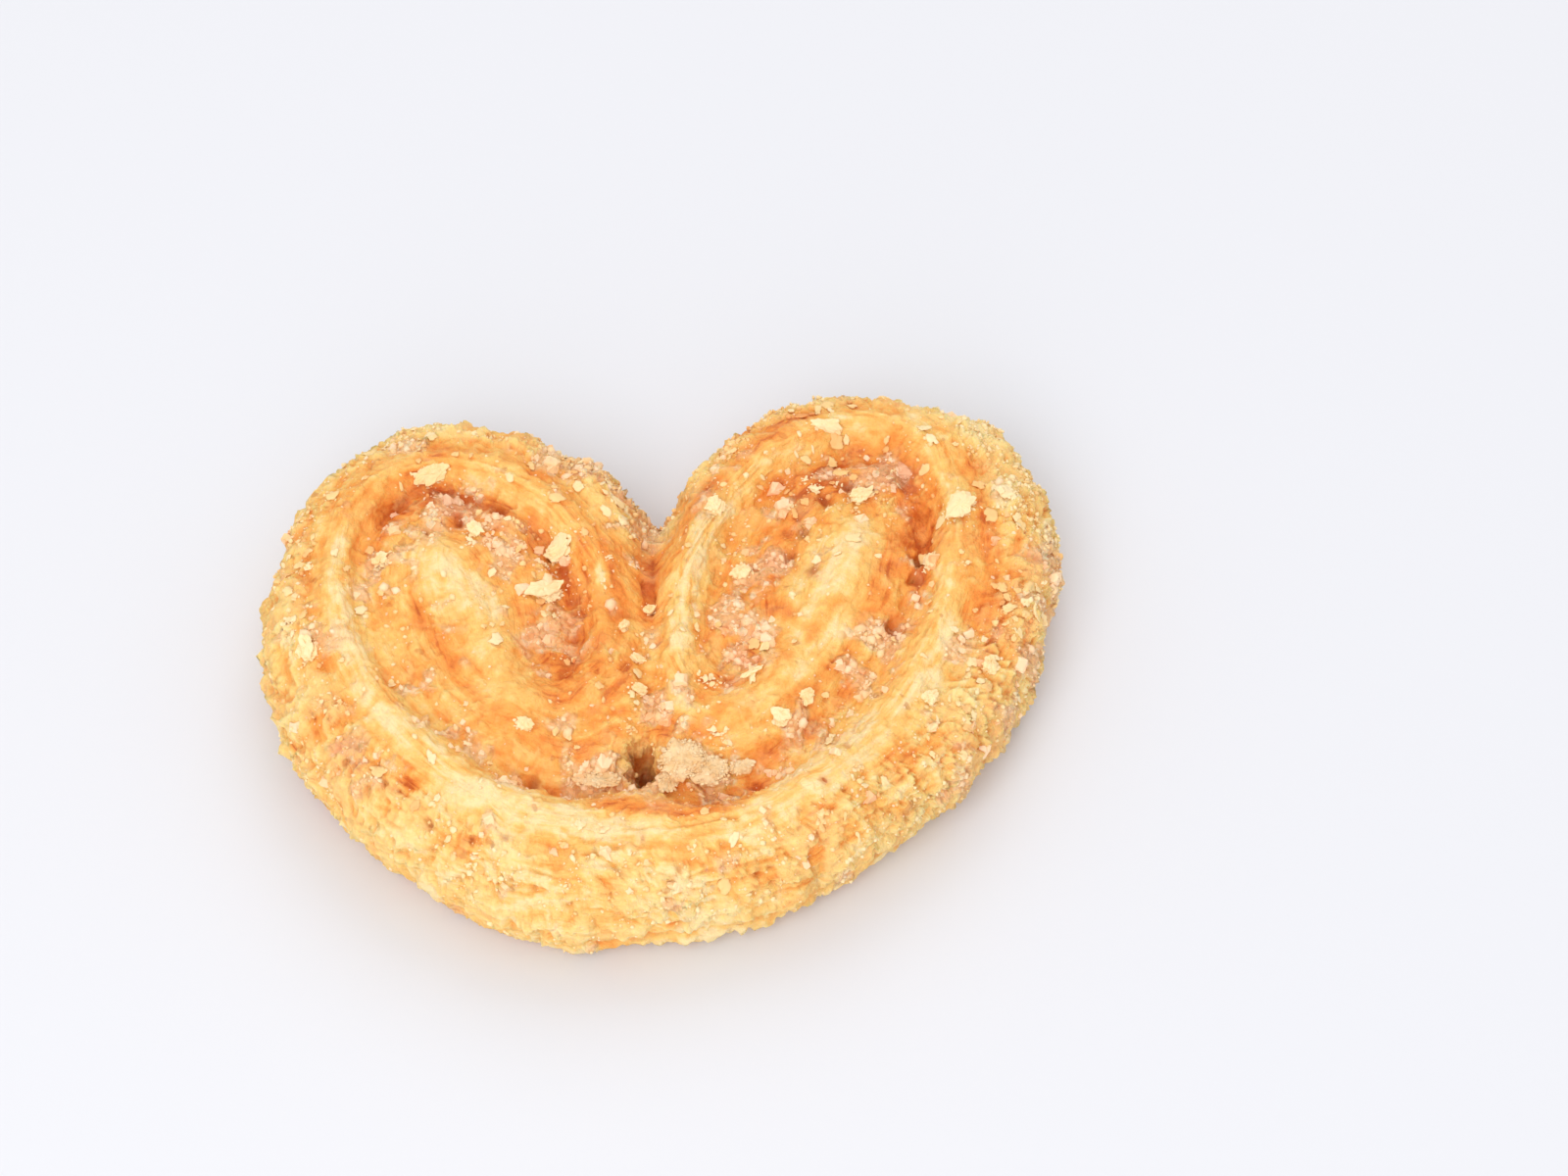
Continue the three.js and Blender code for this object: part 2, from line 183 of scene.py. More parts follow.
relief = {
    "seamDepth": 1.9, "seamWidth": 1.7, "seamInnerShare": 0.45,
    "crestRise": 1.15, "crestWidth": 2.0, "crestWidthNearHole": 2.7, "crestWidthInside": 1.5,
    "crestAwayNearHole": 4.6, "crestAway": 2.7, "crestSettle": 0.16, "crestTurns": 0.8,
    "foldShare": 0.65, "foldWidth": 1.25,
    "coreRise": 1.1, "coreWidth": 2.3, "pocketDepth": 1.1,
    "underDepth": 0.8, "underWidth": 1.3, "underMargin": 0.4,
}
cleft = {
    "from": (-0.7, 18.0), "to": (-1.3, -10.5), "depth": 1.0, "width": 1.5,
    "mouthDepth": 4.6, "mouth": 7.0, "mouthSpread": 0.6,
}
hole = {
    "at": (-1.4, -10.6), "long": 1.9, "short": 1.5, "tilt": 100 * degree,
    "depth": 5.5, "steepness": 4,
}
blisters = (
    # x, y, radius and rise
    (17.0, -18.6, 3.0, 1.0), (13.6, -20.8, 1.7, -1.1), (-29.5, 1.0, 2.4, 0.6), (30.5, 15.5, 3.2, 0.5),
    (-20.0, -17.5, 2.6, 0.5), (25.5, 23.5, 3.0, 0.5), (-15.5, 24.0, 2.6, 0.4),
)
swells = (
    # radians per millimetre along x and y, phase and height
    (0.19, 0.11, 0.4, 0.26), (-0.13, 0.29, 2.1, 0.22), (0.47, 0.23, 4.4, 0.15), (0.31, -0.62, 1.3, 0.14),
)


def intoOval(oval, x, y):
    # an offset measured in the oval's own half lengths
    cos, sin = math.cos(oval["tilt"]), math.sin(oval["tilt"])
    return (x * cos + y * sin) / oval["long"], (y * cos - x * sin) / oval["short"]


def ovalReach(oval, angle):
    # distance from the heart's middle to the oval's rim along each angle: a quadratic's larger root
    alongX, alongY = intoOval(oval, np.cos(angle), np.sin(angle))
    middleX, middleY = heart["middle"]
    startX, startY = intoOval(oval, middleX - oval["at"][0], middleY - oval["at"][1])
    a = alongX ** 2 + alongY ** 2
    b = alongX * startX + alongY * startY
    c = startX ** 2 + startY ** 2 - 1
    return (-b + np.sqrt(b * b - a * c)) / a


def angleBetween(a, b):
    # one angle less another, brought to within half a turn either way
    return np.arctan2(np.sin(a - b), np.cos(a - b))


def rimPoint(angle):
    # the larger of the two ovals' reaches, blended where they meet, plus slow waves and one tall corner
    left = ovalReach(heart["leftLobe"], angle)
    right = ovalReach(heart["rightLobe"], angle)
    radius = (left + right + np.hypot(left - right, heart["lobeBlend"])) / 2
    for count, swing, phase in heart["rimWaves"]:
        radius = radius + swing * np.cos(count * angle - phase)
    cornerAngle, reach, spread = heart["tallCorner"]
    radius = radius + reach * bell(angleBetween(angle, cornerAngle), spread)
    return heart["middle"][0] + radius * np.cos(angle), heart["middle"][1] + radius * np.sin(angle)


def evenAngle(share):
    # angle at each share of the rim's length, counted from the notch
    fine = np.linspace(0, 2 * np.pi, linePoints["rim"]) + np.pi / 2
    x, y = rimPoint(fine)
    length = np.concatenate([[0], np.cumsum(np.hypot(np.diff(x), np.diff(y)))])
    return np.interp(share, length / length[-1], fine)


def insetPoint(angle, inset):
    # a rim point moved inwards, square to the rim, read over a span wide enough that it never folds back
    nearNotch = bell(angleBetween(angle, np.pi / 2), heart["notchReach"])
    span = mix(heart["rimSpan"], heart["notchSpan"], nearNotch)
    x0, y0 = rimPoint(angle - span)
    x1, y1 = rimPoint(angle + span)
    length = np.hypot(x1 - x0, y1 - y0)
    x, y = rimPoint(angle)
    return x - (y1 - y0) / length * inset, y - (x0 - x1) / length * inset


def topRoundingAt(angle):
    # how far in the edge begins to round over, blended to a value of its own near the notch
    return mix(heart["topRounding"], heart["notchRounding"],
               bell(angleBetween(angle, np.pi / 2), heart["notchSpread"]))


def seamLine(spiral):
    # an egg-shaped spiral: an oval's radius times a share that shrinks steadily on the way in
    share = np.linspace(0, 1, linePoints["seam"])
    angle = mix(spiral["from"], spiral["to"], share)
    lean = angle - spiral["tilt"]
    oval = np.hypot(np.cos(lean) / spiral["long"], np.sin(lean) / spiral["short"])
    radius = mix(spiral["outer"], spiral["inner"], share) * (1 + spiral["egg"] * np.cos(lean)) / oval
    eyeX, eyeY = spiral["eye"]
    return np.stack([eyeX + radius * np.cos(angle), eyeY + radius * np.sin(angle), share], 1)


def crestLine(spiral):
    # the seam pushed away from the eye of its roll, furthest near the hole
    line = seamLine(spiral)
    line = line[line[:, 2] <= relief["crestTurns"]]
    away = mix(relief["crestAway"], relief["crestAwayNearHole"], bell(line[:, 2], relief["crestSettle"]))
    eye = np.array(spiral["eye"])
    offset = line[:, :2] - eye
    scale = 1 + away / np.hypot(offset[:, 0], offset[:, 1])
    return np.column_stack([eye + offset * scale[:, None], line[:, 2]])


def curveLine(ends):
    # a quadratic curve through three control points
    t = np.linspace(0, 1, linePoints["curve"])[:, None]
    a, b, c = (np.array(end) for end in ends)
    return np.column_stack([(1 - t) ** 2 * a + 2 * t * (1 - t) * b + t ** 2 * c, t])


def nearest(line, x, y):
    # distance to the closest segment of a line, and the line's share there
    start, step = line[:-1, :2], np.diff(line[:, :2], axis=0)
    lengthSquared = (step ** 2).sum(1)
    distance, share = np.empty(len(x)), np.empty(len(x))
    blockSize = 12000
    for block in np.array_split(np.arange(len(x)), max(1, len(x) // blockSize)):
        toX = x[block, None] - start[None, :, 0]
        toY = y[block, None] - start[None, :, 1]
        along = np.clip((toX * step[:, 0] + toY * step[:, 1]) / lengthSquared, 0, 1)
        gap = np.hypot(toX - along * step[:, 0], toY - along * step[:, 1])
        best = gap.argmin(1)
        row = np.arange(len(block))
        distance[block] = gap[row, best]
        share[block] = mix(line[best, 2], line[best + 1, 2], along[row, best])
    return distance, share


def dip(oval, x, y, steepness):
    # one at the oval's middle, falling away like exp(-(distance in half lengths) to a power)
    u, v = intoOval(oval, x - oval["at"][0], y - oval["at"][1])
    return np.exp(-np.hypot(u, v) ** steepness)


def cleftDip(x, y):
    # a groove along the line of the cleft, deep and wide at the notch and shallow beyond
    (fromX, fromY), (toX, toY) = cleft["from"], cleft["to"]
    share = np.clip((fromY - y) / (fromY - toY), 0, 1)
    aside = np.hypot(x - mix(fromX, toX, share), np.maximum(toY - y, 0))
    mouth = bell(np.maximum(fromY - y, 0), cleft["mouth"])
    width = cleft["width"] * (1 + cleft["mouthSpread"] * mouth)
    return (cleft["depth"] + cleft["mouthDepth"] * mouth) * bell(aside, width)


def measureFace(x, y):
    # distances from each point to the lines that shape the face
    found = {}
    settle = relief["crestSettle"]
    for name, roll in (("left", leftRoll), ("right", rightRoll)):
        seamGap, seamShare = nearest(seamLine(roll["seam"]), x, y)
        crestGap, crestShare = nearest(crestLine(roll["seam"]), x, y)
        leveled = roll["level"]["share"] * bell(seamShare - roll["level"]["at"], roll["level"]["reach"])
        grooveDepth = mix(1, relief["seamInnerShare"], seamShare) * (1 - leveled)
        crestWidth = mix(relief["crestWidth"], relief["crestWidthInside"], crestShare)
        crestWidth = mix(crestWidth, relief["crestWidthNearHole"], bell(crestShare, settle))
        found[name] = {
            "seam": seamGap,
            "away": mix(relief["crestAway"], relief["crestAwayNearHole"], bell(seamShare, settle)),
            "groove": bell(seamGap, relief["seamWidth"]) * grooveDepth,
            "crest": crestGap,
            "ridge": bell(crestGap, crestWidth),
            "core": nearest(curveLine(roll["core"]), x, y)[0],
            "fold": bell(nearest(curveLine(roll["fold"]), x, y)[0], relief["foldWidth"]),
            "pocket": dip(roll["pocket"], x, y, 2),
        }
    return found


def topHeight(x, y, found):
    # the crown's height, raised along crests and cores and lowered along seams, pockets, cleft and hole
    left, right = found["left"], found["right"]
    z = np.full(len(x), heart["crownHeight"])
    for alongX, alongY, phase, swing in swells:
        z += swing * np.sin(alongX * x + alongY * y + phase)
    z = spotted(z, x, y, blisters)
    folds = relief["foldShare"] * together(left["fold"], right["fold"])
    z += relief["crestRise"] * together(together(left["ridge"], right["ridge"]), folds)
    z -= relief["seamDepth"] * together(left["groove"], right["groove"])
    for gaps in found.values():
        z += relief["coreRise"] * bell(gaps["core"], relief["coreWidth"])
        z -= relief["pocketDepth"] * gaps["pocket"]
    return z - cleftDip(x, y) - hole["depth"] * dip(hole, x, y, hole["steepness"])


def underHeight(x, y, found):
    # flat, but for shallow grooves under the seams
    nearSeam = np.maximum(bell(found["left"]["seam"], relief["underWidth"]),
                          bell(found["right"]["seam"], relief["underWidth"]))
    return np.maximum(0, relief["underDepth"] * mix(-relief["underMargin"], 1, nearSeam))


crust = {
    "topRings": 110,      # rings of points across the upper face, eight more points in each
    "shoulderRings": 28,
    "footRings": 13,
    "lumpRelief": 0.3,    # heights in millimetres
    "knobRelief": 0.26,
    "scabRelief": 0.34,
    "chipRelief": 0.2,
    "plateRelief": 0.42,
    "grainRelief": 0.2,
    "sugarRelief": 0.36,
    "curdRelief": 0.3,
    "streakRelief": 0.16,
    "troughDepth": 0.4,
    "layerRelief": 0.26,
    "fuzzRelief": 0.2,
    "creaseDepth": 0.6,
    "poreDepth": 0.5,
    "lipRise": 0.5, "lipHeight": 1.8, "lipWidth": 0.8,
    "lipGap": 1.5, "lipGrooveWidth": 0.55, "lipGrooveDepth": 0.35,
    "layerCount": 11,     # layers of dough between a seam and the rim
    "fibreStretch": 7.0,  # how much longer than wide the streaks are
}
pits = (
    # x, y, radius and depth
    (16.5, 18.1, 0.6, 0.9), (14.5, 16.3, 0.55, 0.8), (12.5, 12.9, 0.6, 0.9), (11.2, 10.5, 0.5, 0.7),
    (22.9, 10.2, 0.5, 1.0), (22.5, 8.2, 0.45, 0.8), (20.5, 2.8, 0.8, 0.9), (-10.7, -13.0, 0.5, 0.6),
    (14.5, -21.9, 1.1, 0.7), (14.2, -14.6, 0.4, 0.4), (-21.0, 12.5, 0.4, 0.5), (-14.7, 15.3, 0.5, 0.5),
    (-18.2, 14.0, 0.5, 0.8), (13.2, 8.5, 0.6, 0.25),
)
bands = (
    # first, middle and last point, half width, how browned, and how fully it covers
    ((-26.5, 6.0), (-23.0, -9.0), (-7.0, -18.0), 1.5, 0.05, 0.8),
    ((-25.8, 12.0), (-19.5, 17.6), (-9.0, 9.5), 0.9, 0.54, 0.7),
    ((-17.0, 18.8), (-11.5, 15.8), (-7.0, 10.0), 1.1, 0.2, 0.7),
    ((-9.5, 10.5), (-7.3, 4.0), (-8.0, -3.0), 1.1, 0.7, 0.95),
    ((-7.5, 12.0), (-5.9, 5.0), (-5.5, -2.5), 0.7, 0.68, 0.8),
    ((-5.0, 11.0), (-3.9, 6.0), (-4.3, 1.0), 0.8, 0.7, 0.75),
    ((-25.0, 8.0), (-21.5, 0.0), (-17.0, -6.0), 0.8, 0.44, 0.7),
    ((-23.4, 7.0), (-19.9, -0.5), (-15.2, -6.5), 0.6, 0.24, 0.6),
    ((-24.0, -1.0), (-20.0, -7.5), (-13.0, -12.0), 1.6, 0.24, 0.7),
    ((-20.5, 9.5), (-16.0, 3.0), (-12.5, -6.0), 2.7, 0.2, 0.85),
    ((-18.8, 8.2), (-17.0, 6.0), (-15.6, 4.0), 1.6, 0.1, 0.8),
    ((-14.6, -0.5), (-13.7, -3.0), (-12.9, -5.0), 1.3, 0.12, 0.7),
    ((-1.6, 13.5), (-1.7, 9.5), (-1.2, 6.0), 0.55, 0.85, 0.6),
    ((4.4, 13.5), (2.2, 5.0), (1.9, -6.0), 0.95, 0.08, 0.85),
    ((8.5, 17.0), (5.7, 7.0), (5.5, -4.0), 1.3, 0.42, 0.6),
    ((20.3, 17.0), (20.4, 10.0), (17.8, 3.0), 0.9, 0.64, 0.85),
    ((18.5, 15.5), (15.9, 8.0), (14.5, 1.5), 2.5, 0.2, 0.9),
    ((17.9, 13.6), (16.5, 9.5), (14.6, 5.2), 1.6, 0.09, 0.85),
    ((13.8, 12.0), (12.8, 8.5), (12.2, 5.0), 1.0, 0.17, 0.75),
    ((15.7, 4.0), (14.4, 2.4), (13.2, 0.8), 1.0, 0.46, 0.75),
    ((16.0, 2.5), (12.9, -1.8), (8.5, -7.0), 0.9, 0.12, 0.85),
    ((19.5, 20.5), (22.9, 13.5), (20.5, 3.0), 0.7, 0.68, 0.7),
    ((17.5, -1.5), (15.3, -4.5), (13.5, -7.0), 0.6, 0.66, 0.7),
    ((13.2, -7.8), (9.5, -10.2), (5.0, -11.0), 0.8, 0.74, 0.8),
    ((24.9, 9.0), (22.2, 0.0), (16.8, -8.5), 1.1, 0.15, 0.8),
    ((17.0, -8.0), (13.2, -12.5), (9.0, -17.5), 1.8, 0.12, 0.75),
    ((-4.5, -15.3), (2.5, -16.4), (8.5, -14.0), 1.5, 0.72, 0.85),
    ((-12.0, -19.5), (0.0, -21.0), (12.0, -20.5), 1.9, 0.12, 0.7),
    ((-8.0, -19.2), (-1.0, -20.4), (6.0, -19.3), 0.22, 0.5, 0.6),
    ((-7.0, -20.9), (-0.5, -22.2), (5.5, -21.0), 0.2, 0.46, 0.6),
    ((-3.0, -18.4), (1.0, -18.9), (6.5, -17.9), 0.2, 0.5, 0.5),
)
creases = (
    # first, middle and last point, half width and depth
    ((10.4, 9.0), (13.4, 14.2), (18.3, 17.6), 0.4, 0.45),
    ((22.6, 17.0), (23.0, 12.0), (21.0, 5.0), 0.4, 0.45),
    ((-1.6, 13.5), (-1.7, 9.5), (-1.2, 6.0), 0.45, 0.4),
    ((-9.8, 10.5), (-8.0, 4.0), (-8.6, -2.5), 0.5, 0.3),
    ((-8.0, -19.2), (-1.0, -20.4), (6.0, -19.3), 0.25, 0.2),
    ((-7.0, -20.9), (-0.5, -22.2), (5.5, -21.0), 0.25, 0.2),
    ((-3.0, -18.4), (1.0, -18.9), (6.5, -17.9), 0.25, 0.2),
    ((13.2, -7.8), (9.5, -10.2), (5.0, -11.0), 0.5, 0.3),
)
fills = (
    # x, y, radius and rise: sugar that has filled a groove
    (-24.8, 12.4, 1.6, 0.5), (-20.3, 15.9, 2.2, 0.7), (-13.0, 13.9, 2.0, 0.5), (22.6, 9.0, 1.6, 0.4),
)


def bentLine(first, middle, last):
    # a smooth line through three points
    first, middle, last = (np.array(point) for point in (first, middle, last))
    return curveLine((first, 2 * middle - (first + last) / 2, last))


def lineCover(points, ends, width):
    # one along a line and nought beyond its half width, with soft sides
    distance, _ = nearest(bentLine(*ends), points[:, 0], points[:, 1])
    return np.exp(-(distance / width) ** 4)


def footRoundingAt(angle):
    # the same all round
    return np.full(len(angle), heart["footRounding"])


def squareRings(rings):
    # a square grid read as rings round its middle: each point's share of the way out and round
    i, j = np.meshgrid(np.arange(-rings, rings + 1), np.arange(-rings, rings + 1), indexing="ij")
    i, j = i.ravel(), j.ravel()
    ring = np.maximum(np.abs(i), np.abs(j))
    sides = [(i == ring) & (j < ring), (j == ring) & (i > -ring), (i == -ring) & (j > -ring)]
    around = np.select(sides, [j + ring, 3 * ring - i, 5 * ring - j], 7 * ring + i)
    return ring / rings, around / np.maximum(8 * ring, 1)


def triangles(*corners):
    # faces from sets of three rows, one row for each corner
    return np.concatenate([np.stack(three, 1) for three in corners])


def gridFaces(rings, first):
    # two triangles for each square, cut along the way that keeps both halves even
    side = 2 * rings + 1
    i, j = np.meshgrid(np.arange(side - 1), np.arange(side - 1), indexing="ij")
    i, j = i.ravel(), j.ravel()
    a, b, c, d = (first + (i + di) * side + j + dj for di, dj in ((0, 0), (1, 0), (1, 1), (0, 1)))
    straight = ((i < rings) == (j < rings))[:, None]
    one = np.where(straight, np.stack([a, b, c], 1), np.stack([a, b, d], 1))
    two = np.where(straight, np.stack([a, c, d], 1), np.stack([b, c, d], 1))
    return np.concatenate([one, two])


def gridEdge(rings, first):
    # the grid's outermost ring of points, in order from the first share round it
    side = 2 * rings + 1
    up = np.arange(2 * rings)
    last = 2 * rings
    i = np.concatenate([np.full(last, last), last - up, np.zeros(last, int), up])
    j = np.concatenate([up, np.full(last, last), last - up, np.zeros(last, int)])
    return first + i * side + j


def bandFaces(upper, lower):
    # a closed band of triangles between two rings of equal count
    nextUpper, nextLower = np.roll(upper, -1), np.roll(lower, -1)
    return triangles((upper, lower, nextLower), (upper, nextLower, nextUpper))


def halvingFaces(upper, lower):
    # a closed band between a ring and one with half its count
    even, odd, after = upper[0::2], upper[1::2], np.roll(upper, -2)[0::2]
    nextLower = np.roll(lower, -1)
    return triangles((even, lower, odd), (odd, lower, nextLower), (odd, nextLower, after))


def faceGrid(rings, rounding, heightAt):
    # points from the middle out to the line where the edge begins to round over
    ringShare, aroundShare = squareRings(rings)
    angle = evenAngle(aroundShare)
    edgeX, edgeY = insetPoint(angle, rounding(angle))
    x = mix(heart["middle"][0], edgeX, ringShare)
    y = mix(heart["middle"][1], edgeY, ringShare)
    return np.stack([x, y, heightAt(x, y, measureFace(x, y))], 1)


def edgeRings(turns, count, squareness, rounding, heightAt):
    # rings on the rounded edge: a superellipse from the waist up or down to the face
    turn, share = np.meshgrid(np.array(turns), np.arange(count) / count, indexing="ij")
    turn, angle = turn.ravel(), evenAngle(share.ravel())
    x, y = insetPoint(angle, rounding(angle) * (1 - np.cos(turn) ** (2 / squareness)))
    faceZ = heightAt(x, y, measureFace(x, y))
    return np.stack([x, y, mix(heart["waistHeight"], faceZ, np.sin(turn) ** (2 / squareness))], 1)


def makeMesh(name, points, faces, smooth=True):
    # points are in millimetres about the design's own middle: here they become metres about the origin
    mesh = bpy.data.meshes.new(name)
    mesh.vertices.add(len(points))
    mesh.vertices.foreach_set("co", ((points - designCentre) * mm).astype(np.float32).ravel())
    mesh.loops.add(faces.size)
    mesh.loops.foreach_set("vertex_index", faces.astype(np.int32).ravel())
    mesh.polygons.add(len(faces))
    mesh.polygons.foreach_set("loop_start", np.arange(0, faces.size, faces.shape[1], dtype=np.int32))
    mesh.polygons.foreach_set("use_smooth", np.full(len(faces), smooth))
    mesh.update(calc_edges=True)
    mesh.validate()
    piece = bpy.data.objects.new(name, mesh)
    bpy.context.scene.collection.objects.link(piece)
    return piece


def addNumbers(piece, name, values):
    # one number per vertex for the material to read
    attribute = piece.data.attributes.new(name, "FLOAT", "POINT")
    attribute.data.foreach_set("value", values.astype(np.float32))


def addPlaces(piece, name, places):
    # one place per vertex for a pattern that follows the surface
    attribute = piece.data.attributes.new(name, "FLOAT_VECTOR", "POINT")
    attribute.data.foreach_set("vector", places.astype(np.float32).ravel())


def pointNormals(points, faces):
    # the sum of the faces' normals round each point
    corners = points[faces]
    normal = np.cross(corners[:, 1] - corners[:, 0], corners[:, 2] - corners[:, 0])
    total = np.zeros_like(points)
    for corner in range(3):
        for axis in range(3):
            total[:, axis] += np.bincount(faces[:, corner], normal[:, axis], len(points))
    return total / np.maximum(np.linalg.norm(total, axis=1), 1e-9)[:, None]


rimX, rimY = rimPoint(np.linspace(0, 2 * np.pi, linePoints["outline"]))
designCentre = np.array([(rimX.min() + rimX.max()) / 2, (rimY.min() + rimY.max()) / 2, 0])


def crustForm():
    # the upper face, the rounded edge and the underside as one closed skin
    rings, count = crust["topRings"], 8 * crust["topRings"]
    top = faceGrid(rings, topRoundingAt, topHeight)
    turns = np.linspace(90, 0, crust["shoulderRings"] + 1)[1:] * degree
    shoulder = edgeRings(turns, count, heart["topSquareness"], topRoundingAt, topHeight)
    turns = np.linspace(0, 90, crust["footRings"] + 2)[1:-1] * degree
    foot = edgeRings(turns, count, heart["footSquareness"], footRoundingAt, underHeight)
    under = faceGrid(rings // 2, footRoundingAt, underHeight)
    points = np.concatenate([top, shoulder, foot, under])
    firstUnder = len(top) + len(shoulder) + len(foot)
    loops = [gridEdge(rings, 0)]
    loops += list(np.arange(len(top), firstUnder).reshape(-1, count))
    faces = [gridFaces(rings, 0)]
    faces += [bandFaces(upper, lower) for upper, lower in zip(loops[:-1], loops[1:])]
    faces.append(halvingFaces(loops[-1], gridEdge(rings // 2, firstUnder)))
    faces.append(gridFaces(rings // 2, firstUnder)[:, ::-1])
    return points, np.concatenate(faces), firstUnder


def streakNoise(across, x, y, size, stretch, seed):
    # noise drawn out along the turns of dough: it changes fast across them and slowly along them
    return cloudNoise(np.stack([across, x / stretch, y / stretch], 1), size, seed, 3)


def fibrePlace(points, zones):
    # where streaks are looked up: fast across the turns and down the wall, slowly along them, in metres
    along = warped(points, 6.0, 1.2, 261) / crust["fibreStretch"]
    drift = 0.4 * softNoise(points, 3.0, 267)
    return np.stack([zones["across"] + drift, along[:, 0], along[:, 1]], 1) * mm


def crustZones(points, normals):
    # how much of each kind of surface lies at each point, from nought to one
    x, y, z = points.T
    found = measureFace(x, y)
    left, right = found["left"], found["right"]
    rimLine = np.column_stack([rimX, rimY, np.zeros(len(rimX))])[::8]
    inset, _ = nearest(rimLine, x, y)
    seamGap = np.maximum(softLess(left["seam"], right["seam"]), 0)
    crestGap = softLess(left["crest"], right["crest"])
    upward = ramp(normals[:, 2], 0.1, 0.7)
    across = seamGap + 0.8 * np.maximum(heart["crownHeight"] - z, 0) * (1 - upward)
    outer = np.maximum(ramp(seamGap + crestGap * 0.4 - inset * 0.9, 1.0, 5.0), 1 - upward)
    inside = ramp(crestGap - seamGap, 0.6, 2.0)
    troughAway = mix(mix(2.1, 3.6, ramp(x, -5, 10)), 5.3, ramp(-y, 3, 12))
    trough = bell(crestGap - troughAway, 1.4) * (1 - inside) * ramp(inset, 1.5, 4.0)
    trough = trough * ramp(np.abs(x + 1), 8, 14) * ramp(-y, -17, -11)
    nearLeft = left["seam"] < right["seam"]
    away, crest = (np.where(nearLeft, left[key], right[key]) for key in ("away", "crest"))
    outward = (away - crest + np.minimum(left["seam"], right["seam"])) / 2
    cleftSide = x - mix(cleft["from"][0], cleft["to"][0], np.clip((18 - y) / 28, 0, 1))
    return {
        "inset": inset, "seamGap": seamGap, "across": across, "upward": upward, "outer": outer,
        "inside": inside, "outward": np.maximum(outward, 0), "trough": trough,
        "under": ramp(-normals[:, 2], 0.3, 0.9),
        "front": ramp(-y, 2, 17),
        "ridge": together(left["ridge"], right["ridge"]) ** 1.3 * upward,
        "groove": together(left["groove"], right["groove"]),
        "core": together(bell(left["core"], 2.3), bell(right["core"], 2.3)),
        "pocket": np.maximum(left["pocket"], right["pocket"]),
        "hole": dip(hole, x, y, hole["steepness"]),
        "innerBand": inside * bell(seamGap - 3.6, 1.2) * ramp(-y, -9, -3) * ramp(np.abs(x + 1), 9, 13),
        "apron": bell(seamGap - 4.6, 1.8) * (1 - inside) * ramp(-y, -5, 3),
        "inTop": inside * bell(seamGap - 2.6, 2.4) * ramp(y, 6, 12),
        "streak": streakNoise(across, x, y, 1.3, 6.0, 301),
        "leftFold": left["fold"] * (1 - left["ridge"]),
        "rightFold": right["fold"] ** 1.5 * (1 - 0.5 * right["ridge"]),
        "cleftCrease": bell(cleftSide, 0.5) * ramp(y, 2.5, 5.5) * ramp(-y, -14.5, -11),
        "cleftFlank": bell(np.abs(cleftSide) - 2.1, 1.5) * ramp(y, -7, 0) * (1 - right["fold"]),
        "mouth": bell(cleftSide, 2.2) * ramp(y, 10, 15),
        "pit": spotted(0, x, y, [(*place, 1) for *place, _ in pits]),
        "pitDepth": spotted(0, x, y, pits),
    }


sugarPatches = (
    # x, y, radius and how thickly the melted sugar lies
    (-22.3, 12.2, 3.2, 0.9), (-18.3, 14.6, 2.8, 1.0), (-14.0, 11.6, 2.6, 0.8), (-11.3, 9.4, 2.0, 0.8),
    (-24.6, 9.3, 1.8, 0.6), (-10.2, 1.8, 2.2, 1.0), (-10.4, 4.6, 1.2, 0.6), (-20.0, -4.8, 2.2, 0.5),
    (-6.5, -11.3, 2.9, 1.0), (-2.6, -13.6, 2.0, 0.9), (-1.4, -15.6, 1.6, 0.8), (7.6, -0.6, 2.2, 0.9),
    (7.0, 3.2, 2.2, 0.8), (8.0, 6.8, 1.8, 0.6), (6.3, -4.2, 1.4, 0.9), (9.8, 9.0, 1.8, 0.5),
    (14.8, 19.4, 1.9, 1.0), (20.5, 19.0, 2.8, 1.0), (22.3, 16.4, 1.5, 0.7), (18.8, 1.4, 2.1, 0.9),
    (16.5, -1.6, 1.9, 0.9), (13.0, -6.6, 1.9, 0.9), (20.6, 9.4, 1.4, 0.4), (23.3, 8.0, 1.2, 0.7),
    (10.9, -8.8, 1.6, 0.8), (4.2, -13.4, 2.2, 0.8), (2.4, -5.0, 2.2, 0.5), (0.0, -6.8, 2.3, 0.7),
    (-1.6, 14.6, 2.0, 1.0), (-1.2, 17.0, 1.8, 1.0), (1.6, 9.0, 1.3, 0.6), (-3.0, 9.6, 1.2, 0.8),
    (33.8, 6.0, 1.8, 1.0), (32.4, 1.0, 1.8, 1.0), (30.2, -4.5, 2.0, 0.9), (-29.6, 1.0, 2.0, 0.8),
    (-27.0, -9.5, 2.4, 0.8), (26.2, 0.5, 1.8, 0.7), (-24.0, -13.5, 1.8, 0.6), (-9.5, 21.6, 2.4, 0.9),
    (-6.6, 19.6, 2.2, 1.0), (-4.0, 17.3, 1.8, 1.0), (3.2, 15.6, 1.6, 0.9), (5.4, 19.0, 1.7, 0.8),
    (34.2, 11.0, 2.0, 0.9), (27.5, -12.5, 2.8, 0.9), (22.5, -19.0, 2.4, 0.7), (-22.5, 21.8, 2.2, 0.7),
)


